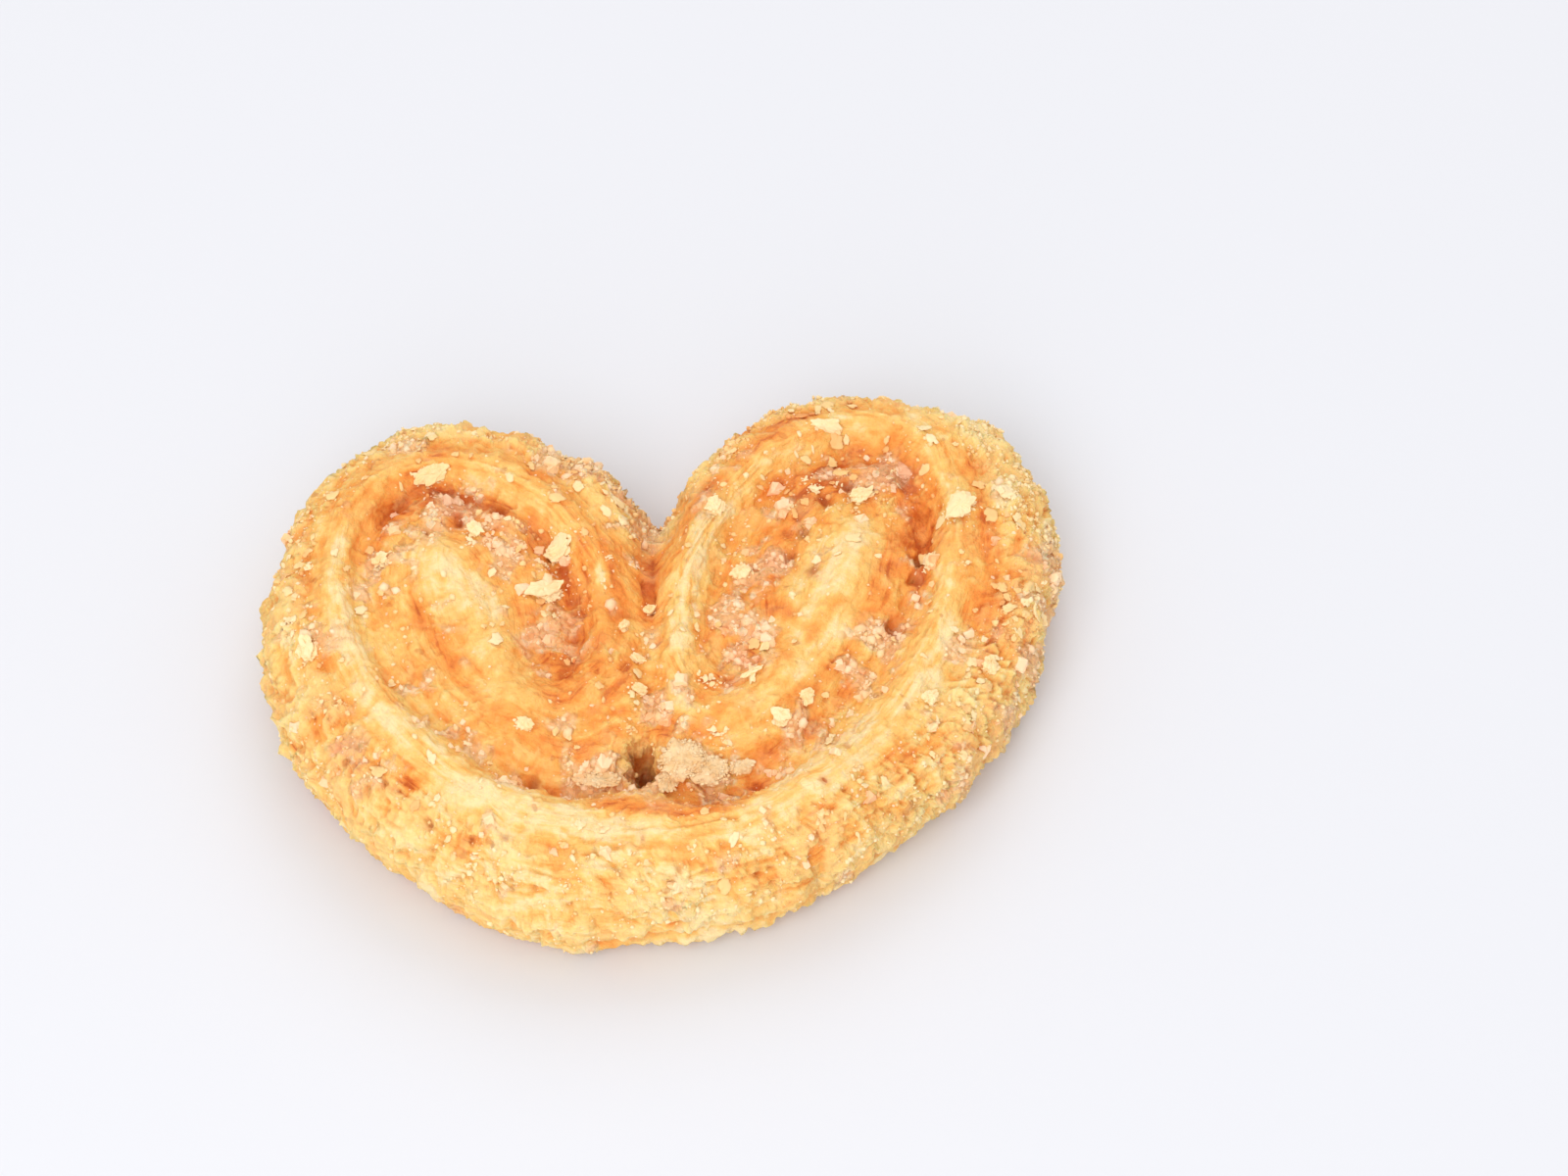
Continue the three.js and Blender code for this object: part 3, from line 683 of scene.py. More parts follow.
def sugaryAt(points, zones, torn, outer):
    # how thickly melted sugar lies: a share for each zone, then patches, broken up by noise
    x, y, _ = points.T
    sugary = 0.3 - 0.4 * zones["innerBand"] + 0.15 * zones["inTop"] + 0.15 * zones["pocket"]
    sugary += 0.4 * zones["mouth"]
    sugary += mix(0.25, -0.35, ramp(y, 6, 12)) * zones["groove"]
    sugary -= 0.35 * zones["cleftFlank"] + 0.25 * zones["cleftCrease"] + 0.1 * outer
    for atX, atY, radius, amount in sugarPatches:
        sugary = together(sugary, amount * bell(np.hypot(x - atX, y - atY), radius))
    return ramp(0.75 * cloudNoise(torn, 2.0, 47, 3) + 0.95 * sugary, 0.5, 0.8)


def layerLines(points, zones):
    # fine lines between layers of dough, counted from a seam out to the rim
    share = zones["seamGap"] / (zones["seamGap"] + zones["inset"] + 0.5)
    wander = 1.3 * cloudNoise(points, 5.0, 51, 2) + 0.5 * cloudNoise(points, 1.6, 57, 2)
    turn = 2 * np.pi * crust["layerCount"] * share + wander
    lines = ramp(np.sin(turn), 0.45, 0.95) + 0.5 * ramp(np.sin(2.3 * turn + 1), 0.5, 0.95)
    return lines * (patchy(points, 2.6, 63, 2, -0.5, 0.2) * zones["upward"])


def creaseAt(points, zones):
    # the sharp line at the bottom of the seams and of the cleft
    _, y, z = points.T
    crease = bell(zones["seamGap"], 0.45) * patchy(points, 5.0, 79, 2, -0.5, 0.5) * ramp(z, 5, 8)
    crease *= np.maximum(0.15, np.maximum(ramp(y, 7, 14), ramp(-y, 9, 14)))
    return together(crease, zones["cleftCrease"] * patchy(points, 2.0, 81, 2, -0.8, 0.2))


def lipAt(points, zones):
    # a low lip of dough along the front foot, and the groove above it
    x, y, z = points.T
    above = z - crust["lipHeight"] - 0.5 * cloudNoise(points, 9.0, 271, 2)
    reach = ramp(-y, 15, 20) * bell(x - 1, 15) * (1 - zones["upward"])
    groove = reach * bell(above - crust["lipGap"], crust["lipGrooveWidth"])
    return reach * bell(above, crust["lipWidth"]), groove


def crustRelief(points, zones):
    # lumps, torn scabs, crumbs, crusted sugar, pores and lines between layers, each in its own zone
    x, y, z = points.T
    smoothness = np.clip(np.maximum(zones["ridge"] * 0.6, zones["core"] * 0.85), 0, 1)
    rough, softened = 1 - 0.8 * smoothness, mix(1, 0.35, smoothness)
    outer = zones["outer"] * (1 - 0.75 * zones["front"] * ramp(-z, -5.0, -3.0))
    torn = warped(points, 1.6, 0.9, 201)
    lumps = cloudNoise(points, 4.4, 11, 2)
    knobs = cloudNoise(torn, 1.7, 17, 3)
    scabs = ramp(cloudNoise(torn, 3.0, 23, 4) + 0.35 * (outer - 0.8), 0.1, 0.17)
    scabs = scabs * patchy(points, 6.0, 31, 2, -0.7, 0.1)
    chips = ramp(cloudNoise(torn, 1.3, 41, 3) + 0.3 * (outer - 0.9), 0.2, 0.3)
    plateNear, plateFar, plateTone = cellNoise(torn * [0.62, 0.62, 1.4], 0.9, 37)
    plates = plateTone * ramp(plateFar - plateNear, 0.02, 0.2) * patchy(points, 4.0, 29, 2, -0.6, 0.1)
    grainNear, grainFar, grainTone = cellNoise(points, 0.8, 43)
    grains = ramp(grainFar - grainNear, 0.02, 0.35) * mix(0.25, 1, grainTone)
    sugary = sugaryAt(points, zones, torn, outer) * (1 - 0.9 * smoothness)
    sugarLumps = pebbled(torn, 1.5, 53, 0.6, 0.3)
    curds = pebbled(torn, 1.15, 87, 0.65, 0.35)
    lined = np.clip(0.5 * zones["ridge"] + outer * mix(0.3, 1, zones["front"]), 0, 1)
    lines = layerLines(points, zones) * lined
    poreNear, _, poreTone = cellNoise(points, 1.25, 71)
    pores = ramp(0.42 - poreNear, 0, 0.3) * ramp(poreTone, 0.7, 0.8)
    pores = pores * mix(0.1, 1, outer * zones["front"])
    crease = creaseAt(points, zones)
    lip, lipGroove = lipAt(points, zones)
    height = crust["lumpRelief"] * lumps * mix(1, 0.4, smoothness)
    height += crust["knobRelief"] * knobs * rough
    height += crust["fuzzRelief"] * cloudNoise(torn, 0.8, 77, 2) * softened
    height -= crust["creaseDepth"] * crease
    height += crust["scabRelief"] * scabs * mix(0.35, 1, outer) * rough
    height += crust["chipRelief"] * chips * rough
    height += crust["plateRelief"] * plates * mix(0.2, 1, outer) * rough
    height += (crust["grainRelief"] * grains + crust["sugarRelief"] * sugarLumps - 0.15) * sugary
    height += crust["curdRelief"] * (curds - 0.4) * softened
    streaks = crust["streakRelief"] * zones["streak"] * mix(1, 0.6, outer)
    height += streaks - crust["troughDepth"] * zones["trough"]
    height -= crust["layerRelief"] * lines
    height -= crust["poreDepth"] * pores + zones["pitDepth"]
    wander = warped(points, 1.8, 0.35, 251)
    for *ends, width, depth in creases:
        height -= depth * lineCover(wander, ends, width) * zones["upward"]
    height = spotted(height, x, y, fills)
    height += crust["lipRise"] * lip - crust["lipGrooveDepth"] * lipGroove
    pale = together(scabs * mix(0.25, 0.6, outer), chips * 0.35)
    pale = together(pale, plates * mix(0.1, 0.4, outer)) * rough
    return height, {
        "pale": pale, "lines": lines, "crease": crease, "knobs": knobs, "sugary": sugary,
        "grains": mix(sugarLumps, grains, 0.4), "pores": pores, "curds": curds, "plates": plates,
        "lip": lip, "lipGroove": lipGroove,
    }


def makeCrust():
    # the closed skin, each point pushed out along its normal by the relief and kept above the table
    points, faces, firstUnder = crustForm()
    normals = pointNormals(points, faces)
    zones = crustZones(points, normals)
    height, parts = crustRelief(points, zones)
    height *= ramp(points[:, 2], 0.2, 1.6)
    height[firstUnder:] = 0
    moved = points + normals * height[:, None]
    moved[:, 2] = np.maximum(moved[:, 2], 0)
    piece = makeMesh("bakedCrust", moved, faces)
    normals = pointNormals(moved, faces)
    return piece, {"points": moved, "normals": normals, "zones": zones, "parts": parts}


def wireSum(operation, swapped=False):
    # what a sign between two wires, or a wire and a number, does
    def made(self, other):
        first, second = (other, self) if swapped else (self, other)
        return self.maths(operation, first, second)
    return made


class Wire:
    # a socket that adds Math nodes as it is used in sums
    def __init__(self, paint, socket):
        self.paint, self.socket = paint, socket

    def maths(self, operation, *values, clamp=False):
        settings = {"operation": operation, "use_clamp": clamp}
        node = self.paint.node("ShaderNodeMath", settings, dict(enumerate(values)))
        return Wire(self.paint, node.outputs[0])

    __add__, __radd__ = wireSum("ADD"), wireSum("ADD", True)
    __sub__, __rsub__ = wireSum("SUBTRACT"), wireSum("SUBTRACT", True)
    __mul__, __rmul__ = wireSum("MULTIPLY"), wireSum("MULTIPLY", True)

    def between(self, low, high):
        # nought below low, one above high
        node = self.paint.node("ShaderNodeMapRange", {"interpolation_type": "SMOOTHSTEP"},
                               {"Value": self, "From Min": low, "From Max": high})
        return Wire(self.paint, node.outputs["Result"])

    def clamped(self):
        return self.maths("ADD", self, 0.0, clamp=True)


class Paint:
    # one material and the few ways its nodes are added
    def __init__(self, name):
        self.material = bpy.data.materials.new(name)
        self.material.use_nodes = True
        self.tree = self.material.node_tree
        self.shader = self.tree.nodes["Principled BSDF"]

    def node(self, kind, settings=None, sockets=None):
        made = self.tree.nodes.new(kind)
        for name, value in (settings or {}).items():
            if name == "stops":
                self.setStops(made.color_ramp, value)
            else:
                setattr(made, name, value)
        for name, value in (sockets or {}).items():
            self.feed(made.inputs[name], value)
        return made

    def setStops(self, colorRamp, stops):
        while len(colorRamp.elements) < len(stops):
            colorRamp.elements.new(0.5)
        for element, (position, color) in zip(colorRamp.elements, stops):
            element.position = position
            element.color = color

    def feed(self, socket, value):
        if isinstance(value, Wire):
            self.tree.links.new(value.socket, socket)
        elif isinstance(value, bpy.types.NodeSocket):
            self.tree.links.new(value, socket)
        else:
            socket.default_value = value

    def attribute(self, name, output):
        return self.node("ShaderNodeAttribute", {"attribute_name": name}).outputs[output]

    def number(self, name):
        return Wire(self, self.attribute(name, "Fac"))

    def place(self):
        return self.node("ShaderNodeTexCoord").outputs["Object"]

    def noise(self, sizeMm, detail=3.0, roughness=0.55, place=None):
        # cloudy noise whose patches are about this many millimetres across
        made = self.node("ShaderNodeTexNoise", {}, {
            "Vector": self.place() if place is None else place,
            "Scale": 1 / mm / sizeMm / 2, "Detail": detail, "Roughness": roughness})
        return Wire(self, made.outputs["Fac"])

    def cells(self, sizeMm):
        # crystal cells about this size: distance from the middle, and each one's own number
        made = self.node("ShaderNodeTexVoronoi", {}, {"Vector": self.place(), "Scale": 1 / mm / sizeMm})
        return Wire(self, made.outputs["Distance"]), Wire(self, made.outputs["Color"])

    def browned(self, share):
        # the colour of crust baked to this share
        made = self.node("ShaderNodeValToRGB", {"stops": crustColours["stops"]}, {"Fac": share})
        return made.outputs["Color"]

    def blend(self, share, first, second):
        made = self.node("ShaderNodeMix", {"data_type": "RGBA"}, {"Factor": share})
        self.feed(made.inputs[6], first)
        self.feed(made.inputs[7], second)
        return made.outputs[2]

    def finish(self, color, roughness, bumps=None, constants=None):
        self.feed(self.shader.inputs["Base Color"], color)
        self.feed(self.shader.inputs["Roughness"], roughness)
        if bumps is not None:
            sockets = dict(zip(("Height", "Distance", "Strength"), bumps))
            made = self.node("ShaderNodeBump", {}, sockets)
            self.feed(self.shader.inputs["Normal"], made.outputs["Normal"])
        for name, value in (constants or {}).items():
            self.shader.inputs[name].default_value = value
        return self.material


def rgb(*screen):
    # a colour given as screen values from 0 to 255, made linear for the shader
    linear = [((c / 255 + 0.055) / 1.055) ** 2.4 if c > 10 else c / 255 / 12.92 for c in screen]
    return (*linear, 1.0)


toastedPatches = (
    # x, y, radius, and how much browner or paler
    (-20.0, 16.3, 4.0, 0.1), (19.0, 20.5, 4.5, 0.2), (4.2, -15.8, 2.0, 0.2), (-8.7, -1.4, 1.5, 0.2),
    (5.8, -3.2, 1.6, 0.2), (-30.6, -1.0, 1.4, 0.3), (-26.5, -12.0, 3.0, 0.16), (-30.5, 4.5, 2.2, -0.14),
    (20.5, -11.5, 2.2, 0.24), (18.0, -15.3, 1.6, 0.22), (-16.5, 23.5, 4.0, -0.1),
    (-10.0, 21.0, 3.0, 0.1), (25.0, 25.0, 6.5, -0.26), (31.9, 17.0, 3.0, -0.14),
    (11.0, 25.5, 4.0, 0.12), (18.0, 25.5, 4.0, -0.16),
    (17.5, -18.5, 2.6, 0.06), (-29.0, 13.0, 4.0, -0.06), (-7.6, -22.2, 1.3, 0.28),
    (-8.6, -20.4, 0.9, 0.25), (14.5, -22.4, 1.2, 0.35), (-21.6, -14.4, 1.7, 0.12),
    (-16.3, -19.0, 1.6, 0.14), (-2.0, 20.0, 3.0, 0.1), (18.0, 15.4, 1.4, 0.36), (10.3, -5.0, 1.4, 0.28),
    (21.3, 6.0, 1.6, -0.36), (18.5, 0.5, 1.3, -0.42), (14.8, 19.4, 1.8, 0.3), (29.0, 8.0, 2.4, -0.1),
    (-31.5, -4.5, 2.6, -0.22), (15.5, -21.8, 2.0, 0.3), (-5.5, 18.6, 2.6, 0.12), (3.6, 16.0, 2.0, 0.2),
    (-18.0, 15.2, 1.6, 0.4), (-21.5, 12.5, 1.4, -0.12), (12.8, 8.8, 1.4, 0.08), (11.0, 17.0, 2.2, 0.22),
    (20.5, 19.0, 2.0, 0.4), (-3.0, -14.6, 1.6, -0.24), (19.0, -5.0, 1.8, 0.16), (-23.5, 4.0, 1.3, 0.14),
    (-19.0, -5.0, 1.6, -0.14), (14.5, -6.0, 1.2, -0.12), (-20.0, 21.5, 2.4, 0.16),
    (-6.0, -28.0, 5.0, 0.12), (-29.6, -7.0, 2.0, 0.3), (-27.6, 15.5, 1.8, 0.22), (28.5, 19.5, 1.8, 0.24),
    (25.5, -9.5, 2.2, 0.2),
)
toasting = {
    # how browned each zone is, and for some how browned it is at the back and at the front; the wall's
    # paler front is partly painted light
    "face": 0.47, "wall": (0.36, 0.17), "grooves": 0.38, "crests": (0.32, 0.04), "cores": (0.16, 0.4),
    "apron": 0.09, "leftFold": 0.42, "rightFold": 0.08, "hole": 0.8, "tray": 0.62,
}
crustColours = {
    "stops": (
        (0.0, rgb(244, 217, 163)),    # cream, least baked
        (0.25, rgb(242, 195, 114)),   # straw
        (0.5, rgb(239, 168, 84)),     # gold
        (0.75, rgb(233, 141, 62)),    # toffee
        (1.0, rgb(198, 94, 34)),      # deep caramel
    ),
    "scab": rgb(246, 214, 144),
    "sugar": rgb(240, 181, 134),
    # pale frosted cream, also the colour of the painted glints on the crust's sugar
    "frostedAndGlint": rgb(252, 228, 186),
    "setSugar": rgb(234, 186, 128),
    "clearSugar": rgb(252, 220, 184),
    # painted shade in pits and pores; the char specks take the same dark brown
    "crevice": rgb(186, 92, 40),
}


def toastAt(points, zones, parts):
    # how far the crust has browned, with painted shade in the creases and the groove above the lip and
    # partly in the seams, and painted light on lump tops and partly on the wall's front: a set share for
    # each zone, then drifting patches and spots
    x, y, _ = points.T
    front, outer = zones["front"], zones["outer"]
    toast = toasting["face"] + 0.08 * ramp(x, -20, -8) + 0.08 * ramp(y, 8, 16) * ramp(x, 0, 8)
    # the wall paler towards its front, most in the middle of the front: partly painted light
    toast = mix(toast, mix(*toasting["wall"], front), outer)
    toast -= 0.16 * ramp(-y, 13, 18) * bell(x, 10.0) * outer
    underHole = ramp(-y, 10, 14) * ramp(-np.abs(x), -16, -10)
    outwardShare = ramp(zones["outward"], 0.0, 0.8)
    # seams browner at the back and under the hole: partly painted shade in the deep seams
    grooved = np.clip(zones["groove"] * 1.2, 0, 1) * mix(1, mix(0.25, 0.7, front), outwardShare)
    grooveToast = toasting["grooves"] + 0.3 * np.maximum(ramp(y, 6, 14), 0.85 * underHole)
    toast = mix(toast, grooveToast, grooved)
    crestToast = mix(*toasting["crests"], ramp(-y, -15, -2)) + 0.1 * ramp(x, 12, 24) * ramp(y, -8, 0)
    crestToast = crestToast + 0.14 * underHole
    toast = mix(toast, crestToast, np.clip(zones["ridge"] * 1.1, 0, 1))
    coreBack, coreFront = toasting["cores"]
    toast = mix(toast, mix(coreFront, coreBack, ramp(y, -4, 6)), zones["core"])
    toast = mix(toast, toasting["apron"], 0.75 * zones["apron"] * mix(0.55, 1, ramp(np.abs(x), 6, 12)))
    toast = mix(toast, toasting["leftFold"], 0.7 * zones["leftFold"])
    toast = mix(toast, toasting["rightFold"], zones["rightFold"])
    wander = warped(points, 2.2, 0.4, 241)
    banded = np.zeros(len(points))
    for *ends, width, browned, cover in bands:
        covered = cover * lineCover(wander, ends, width)
        toast = mix(toast, browned, covered)
        banded = together(banded, covered)
    quiet = 1 - 0.45 * banded
    # the cleft's crease browner: painted shade along its bottom
    toast += 0.2 * zones["pocket"] + 0.4 * zones["cleftCrease"] + 0.04 * zones["cleftFlank"]
    toast += 0.14 * zones["inside"] * bell(zones["seamGap"] - 1.0, 0.8) * ramp(np.abs(x), 5, 9)
    toast += 0.14 * zones["trough"] + 0.14 * zones["innerBand"]
    toast += 0.18 * zones["streak"] - 0.12 * parts["sugary"]
    # curds paler on their tops and browner between them, and knobs paler on top below: painted light and
    # shade
    toast += 0.16 * (0.45 - parts["curds"]) + 0.3 * outer * (0.35 - parts["plates"])
    toast += 0.16 * (quiet + 0.7 * outer) * cloudNoise(warped(points, 3.0, 1.5, 211), 5.0, 71, 3)
    mottled = cloudNoise(warped(points, 1.4, 0.9, 221), 1.9, 83, 3)
    toast += 0.28 * quiet * mottled * (1 - 0.5 * zones["ridge"])
    # the crease line at the bottom of the seams browner: painted shade
    toast += mix(0.25, 0.14, front) * parts["lines"] - 0.1 * parts["knobs"] + 0.3 * parts["crease"]
    # the groove above the lip browner: painted shade
    toast += 0.34 * parts["lipGroove"] - 0.08 * parts["lip"]
    toast = spotted(toast, x, y, toastedPatches)
    toast = mix(toast, toasting["hole"], np.clip(zones["hole"] * 1.4, 0, 1))
    trayToast = toasting["tray"] + 0.22 * cloudNoise(warped(points, 4.0, 2.0, 231), 7.0, 91, 3)
    trayToast += 0.16 * cloudNoise(points, 1.8, 97, 3) - 0.2 * bell(zones["seamGap"], 1.1)
    trayToast -= 0.16 * ramp(-zones["inset"], -4.5, -1.5)
    return np.clip(mix(toast, trayToast, zones["under"]), 0, 1)


def glow(weight, radius, scale, shine):
    # constants for light that scatters below the surface, and for how strongly it shines
    return {"Subsurface Weight": weight, "Subsurface Radius": radius, "Subsurface Scale": scale,
            "Specular IOR Level": shine}


def crustMaterial():
    paint = Paint("bakedCrustFinish")
    names = ("toast", "pale", "sugary", "grains", "crevice", "fibrous")
    toast, pale, sugary, grains, crevice, fibrous = (paint.number(name) for name in names)
    fine = paint.noise(0.9, 4.0, 0.6)
    speck = paint.noise(0.3, 3.0, 0.65)
    grainGap, grainTone = paint.cells(0.62)
    char = paint.noise(1.1, 2.0, 0.5)
    glazed = paint.noise(1.7, 3.0, 0.6).between(0.5, 0.62)
    fibre = paint.noise(0.4, 4.0, 0.6, paint.attribute("fibre", "Vector"))
    baked = toast + (fine - 0.5) * 0.4 + (speck - 0.5) * 0.3
    baked = (baked + ((fibre - 0.5) * 0.8 + fibre.between(0.6, 0.66) * 0.14) * fibrous).clamped()
    flaky = (pale * 0.8 + (speck - 0.5) * 0.3 * pale).clamped()
    crusted = (sugary * (0.55 + grains * 0.28 + grainTone * 0.15) + glazed * 0.14 * toast).clamped()
    # painted glints: some of the sugar's crystal cells turned towards near-white
    paintedGlints = (sugary * (grainTone * 3.0 - 1.9)).clamped()
    # pits and pores darkened as painted shade, plus char specks, which are the crust's own colour
    pitShadeAndChar = (crevice + char.between(0.69, 0.73) * 0.4).clamped()
    color = paint.browned(baked)
    layers = ((flaky, "scab"), (crusted, "sugar"), (paintedGlints, "frostedAndGlint"), (pitShadeAndChar, "crevice"))
    for share, colour in layers:
        color = paint.blend(share, color, crustColours[colour])
    bumpHeight = fine * 0.4 + speck * 0.5 - fibre * fibrous * 0.9
    bumpHeight = bumpHeight + (1 - grainGap) * (sugary * 0.6 + 0.25)
    roughness = (0.62 + (speck - 0.5) * 0.3 - sugary * 0.28).clamped()
    inner = glow(0.3, (1.0, 0.5, 0.25), 0.0016, 0.2)
    return paint.finish(color, roughness, (bumpHeight, 0.0006, 0.8), inner)


def turnsAbout(axis, angle):
    # a turn about one axis for each angle
    one, two = (axis + 1) % 3, (axis + 2) % 3
    turns = np.zeros((len(angle), 3, 3))
    turns[:, axis, axis] = 1
    turns[:, one, one] = turns[:, two, two] = np.cos(angle)
    turns[:, two, one], turns[:, one, two] = np.sin(angle), -np.sin(angle)
    return turns


def randomTurns(draw, count, lean):
    # a turn about the upright axis after a lean of up to so much about each level axis
    spin = draw.uniform(0, 2 * np.pi, count)
    tipX, tipY = draw.uniform(-lean, lean, (2, count))
    return turnsAbout(2, spin) @ turnsAbout(1, tipY) @ turnsAbout(0, tipX)


def layOn(normals):
    # the turn that carries the upright axis onto each normal
    axis = np.cross(np.array([0.0, 0.0, 1.0]), normals)
    sine = np.linalg.norm(axis, axis=1)
    cosine = normals[:, 2]
    axis /= np.maximum(sine, 1e-9)[:, None]
    cross = np.zeros((len(normals), 3, 3))
    cross[:, 0, 1], cross[:, 0, 2] = -axis[:, 2], axis[:, 1]
    cross[:, 1, 0], cross[:, 1, 2] = axis[:, 2], -axis[:, 0]
    cross[:, 2, 0], cross[:, 2, 1] = -axis[:, 1], axis[:, 0]
    return np.eye(3) + sine[:, None, None] * cross + (1 - cosine)[:, None, None] * (cross @ cross)


def joinCopies(shapes, faces):
    # many copies of one shape, already in their places, as one mesh
    count, corners = shapes.shape[:2]
    allFaces = faces[None] + (np.arange(count) * corners)[:, None, None]
    return shapes.reshape(-1, 3), allFaces.reshape(-1, 3)


def turned(shapes, turns):
    # every corner of each shape times that shape's own turn
    return np.einsum("nij,nkj->nki", turns, shapes)


def drawSizes(draw, span, count, power):
    # sizes between two ends, with more small ones the higher the power is
    small, large = span
    return small + (large - small) * draw.random(count) ** power


def strewn(draw, shape, sizes, places, grain, flatness=1.0, onto=None):
    # one copy of a shape at each place, stretched, knocked out of true and turned its own way
    corners, faces = shape
    stretchSpan, wobbleReach, lean = grain
    count = len(sizes)
    stretch = draw.uniform(*stretchSpan, (count, 1, 3)) * sizes[:, None, None]
    stretch[:, :, 2] *= flatness
    wobble = 1 + draw.uniform(-wobbleReach, wobbleReach, (count, len(corners), 3))
    turns = randomTurns(draw, count, lean)
    if onto is not None:
        turns = layOn(onto) @ turns
    return joinCopies(turned(corners[None] * wobble * stretch, turns) + places[:, None, :], faces)


def placesOn(x, y, turn, along, across):
    # places so far along and across things that lie turned at x, y
    cos, sin = np.cos(turn), np.sin(turn)
    return x + along * cos - across * sin, y + along * sin + across * cos


def layout(rows):
    # rows of x, y, length, width and turn, with the turns made radians
    return np.array(rows) * [1, 1, 1, 1, degree]


def hullOf(points):
    # the closed skin of triangles round a handful of points
    work = bmesh.new()
    for point in points:
        work.verts.new(Vector(point))
    bmesh.ops.convex_hull(work, input=work.verts)
    bmesh.ops.triangulate(work, faces=work.faces)
    bmesh.ops.recalc_face_normals(work, faces=work.faces)
    work.verts.index_update()
    shape = np.array([v.co[:] for v in work.verts])
    faces = np.array([[v.index for v in f.verts] for f in work.faces])
    work.free()
    return shape, faces


def blockShape():
    # a cube with its corners cut off: three points round each corner
    cut = 0.55
    corners = np.array([[x, y, z] for x in (-0.5, 0.5) for y in (-0.5, 0.5) for z in (-0.5, 0.5)])
    points = np.repeat(corners, 3, axis=0)
    points[np.arange(24), np.tile([0, 1, 2], 8)] *= cut
    return hullOf(points)


def pebbleShape():
    # twelve points in three crossed golden rectangles, with twenty faces
    golden = (1 + math.sqrt(5)) / 2
    corners = [(0, a, b * golden) for a in (-1, 1) for b in (-1, 1)]
    points = np.array(corners + [(c, a, b) for a, b, c in corners] + [(b, c, a) for a, b, c in corners])
    return hullOf(points * 0.5 / math.hypot(1, golden))


def pickPlaces(draw, weights, count):
    # different points, each as likely as its weight
    return draw.choice(len(weights), count, replace=False, p=weights / weights.sum())


# a grain is the span of its stretch each way, how far its corners stray and how far it leans
sugar = {
    "seed": 5, "grain": ((0.5, 1.0), 0.3, 0.9),
    "coarse": 210, "coarseSize": (0.5, 1.4), "coarseSink": 0.12,
    "melted": 520, "meltedSize": (0.5, 1.6), "meltedSink": 0.2,
    "fine": 1500, "fineSize": (0.2, 0.55), "fineSink": 0.12,
}
crumb = {"seed": 9, "count": 3400, "size": (0.16, 0.62), "grain": ((0.5, 1.3), 0.4, 1.5)}
flake = {
    "seed": 17, "count": 240, "size": (0.5, 1.5), "width": (0.45, 0.95), "thickness": 0.2,
    "waves": 10, "outline": 18, "rings": (0.4, 0.75, 1.0), "curl": 0.08, "hug": 0.85, "lift": 0.12,
    "likeness": 0.8,
}
crustSheets = (
    # x, y, length, width, turn in degrees: sheets of set sugar lying beside the hole
    (2.0, -11.4, 3.9, 3.4, 20), (4.2, -12.2, 3.6, 2.6, -15), (0.9, -13.0, 2.4, 1.6, 70),
    (7.2, -11.8, 2.2, 1.2, 22), (-5.2, -12.7, 3.8, 1.2, 4),
)
sheet = {
    "seed": 18, "thickness": 0.34, "raggedness": 0.85,
    "outline": 48, "rings": (0.25, 0.5, 0.72, 0.88, 1.0),
    "curl": 0.02, "hug": 0.5, "lift": 0.3, "tone": 0.35, "grain": ((0.6, 1.3), 0.35, 0.4),
    "grainsPerArea": 34.0, "grainSize": (0.14, 0.5), "grainReach": 0.54,
    "grainFlatness": 0.3, "grainSink": 0.08,
}
heap = {
    "seed": 23, "strewn": 80, "strewnSize": (0.6, 2.0), "grain": ((0.6, 1.3), 0.4, 0.35),
    "bitsPerArea": 10.0, "bitSize": (0.25, 0.9), "bitThickness": 0.34, "lift": 0.3, "spread": 0.3,
    "plates": 3, "plateShare": (0.45, 0.95), "plateThickness": 0.3, "plateLift": (0.12, 0.32, 0.5),
    "plateOutline": 30, "plateRings": (0.35, 0.65, 0.87, 1.0), "plateRaggedness": 0.8,
    "plateCurl": 0.05, "plateHug": 0.7, "plateShift": 0.32,
}
crumbHeaps = (
    # x, y, length, width, turn in degrees: heaps of pale torn crumbs
    (-21.0, 18.8, 3.6, 1.6, -5), (-16.8, 12.3, 2.8, 1.7, 80), (-9.3, 11.2, 2.8, 2.2, 50),
    (-10.3, 6.7, 3.8, 1.8, 20), (-24.9, 9.6, 1.8, 1.5, 0), (4.9, 14.8, 2.6, 1.8, 35),
    (7.0, 8.8, 2.2, 2.0, 90), (17.6, 16.9, 2.6, 1.4, 20), (26.3, 14.2, 3.6, 2.4, 80),
    (14.7, 23.8, 2.8, 1.1, 5), (23.6, 9.6, 2.0, 1.0, 70), (33.2, 5.0, 3.2, 1.5, 85),
    (28.8, -1.3, 1.8, 1.4, 40), (23.4, -5.4, 1.8, 1.3, 60), (-11.6, -8.3, 1.6, 1.2, 0),
    (-1.8, -4.2, 1.4, 0.9, 10), (-1.8, -0.8, 1.6, 0.8, 0), (-3.3, 2.5, 1.4, 0.8, 70),
    (-1.0, 5.0, 1.4, 0.9, 80), (10.5, -7.5, 1.8, 1.5, 0), (12.8, -5.4, 1.7, 1.1, 60),
    (-30.8, -0.4, 2.6, 1.6, 80), (8.0, -3.0, 2.4, 0.7, 80),
)


def sugarWeights(points, zones, parts):
    # grains lie thickest in grooves and on crusted sugar, in clumps, and seldom on crests or low down
    clumps = patchy(points, 2.2, 101, 2, -0.1, 0.5)
    weight = 0.12 + 0.5 * zones["groove"] + 0.3 * zones["outer"] + 2.2 * parts["sugary"]
    weight *= mix(0.12, 1, clumps) * mix(1, 0.12, np.maximum(zones["ridge"], zones["core"]))
    weight *= ramp(points[:, 2], 1.5, 5.0) * (1 - zones["hole"])
    return weight * mix(0.3, 1, zones["upward"])


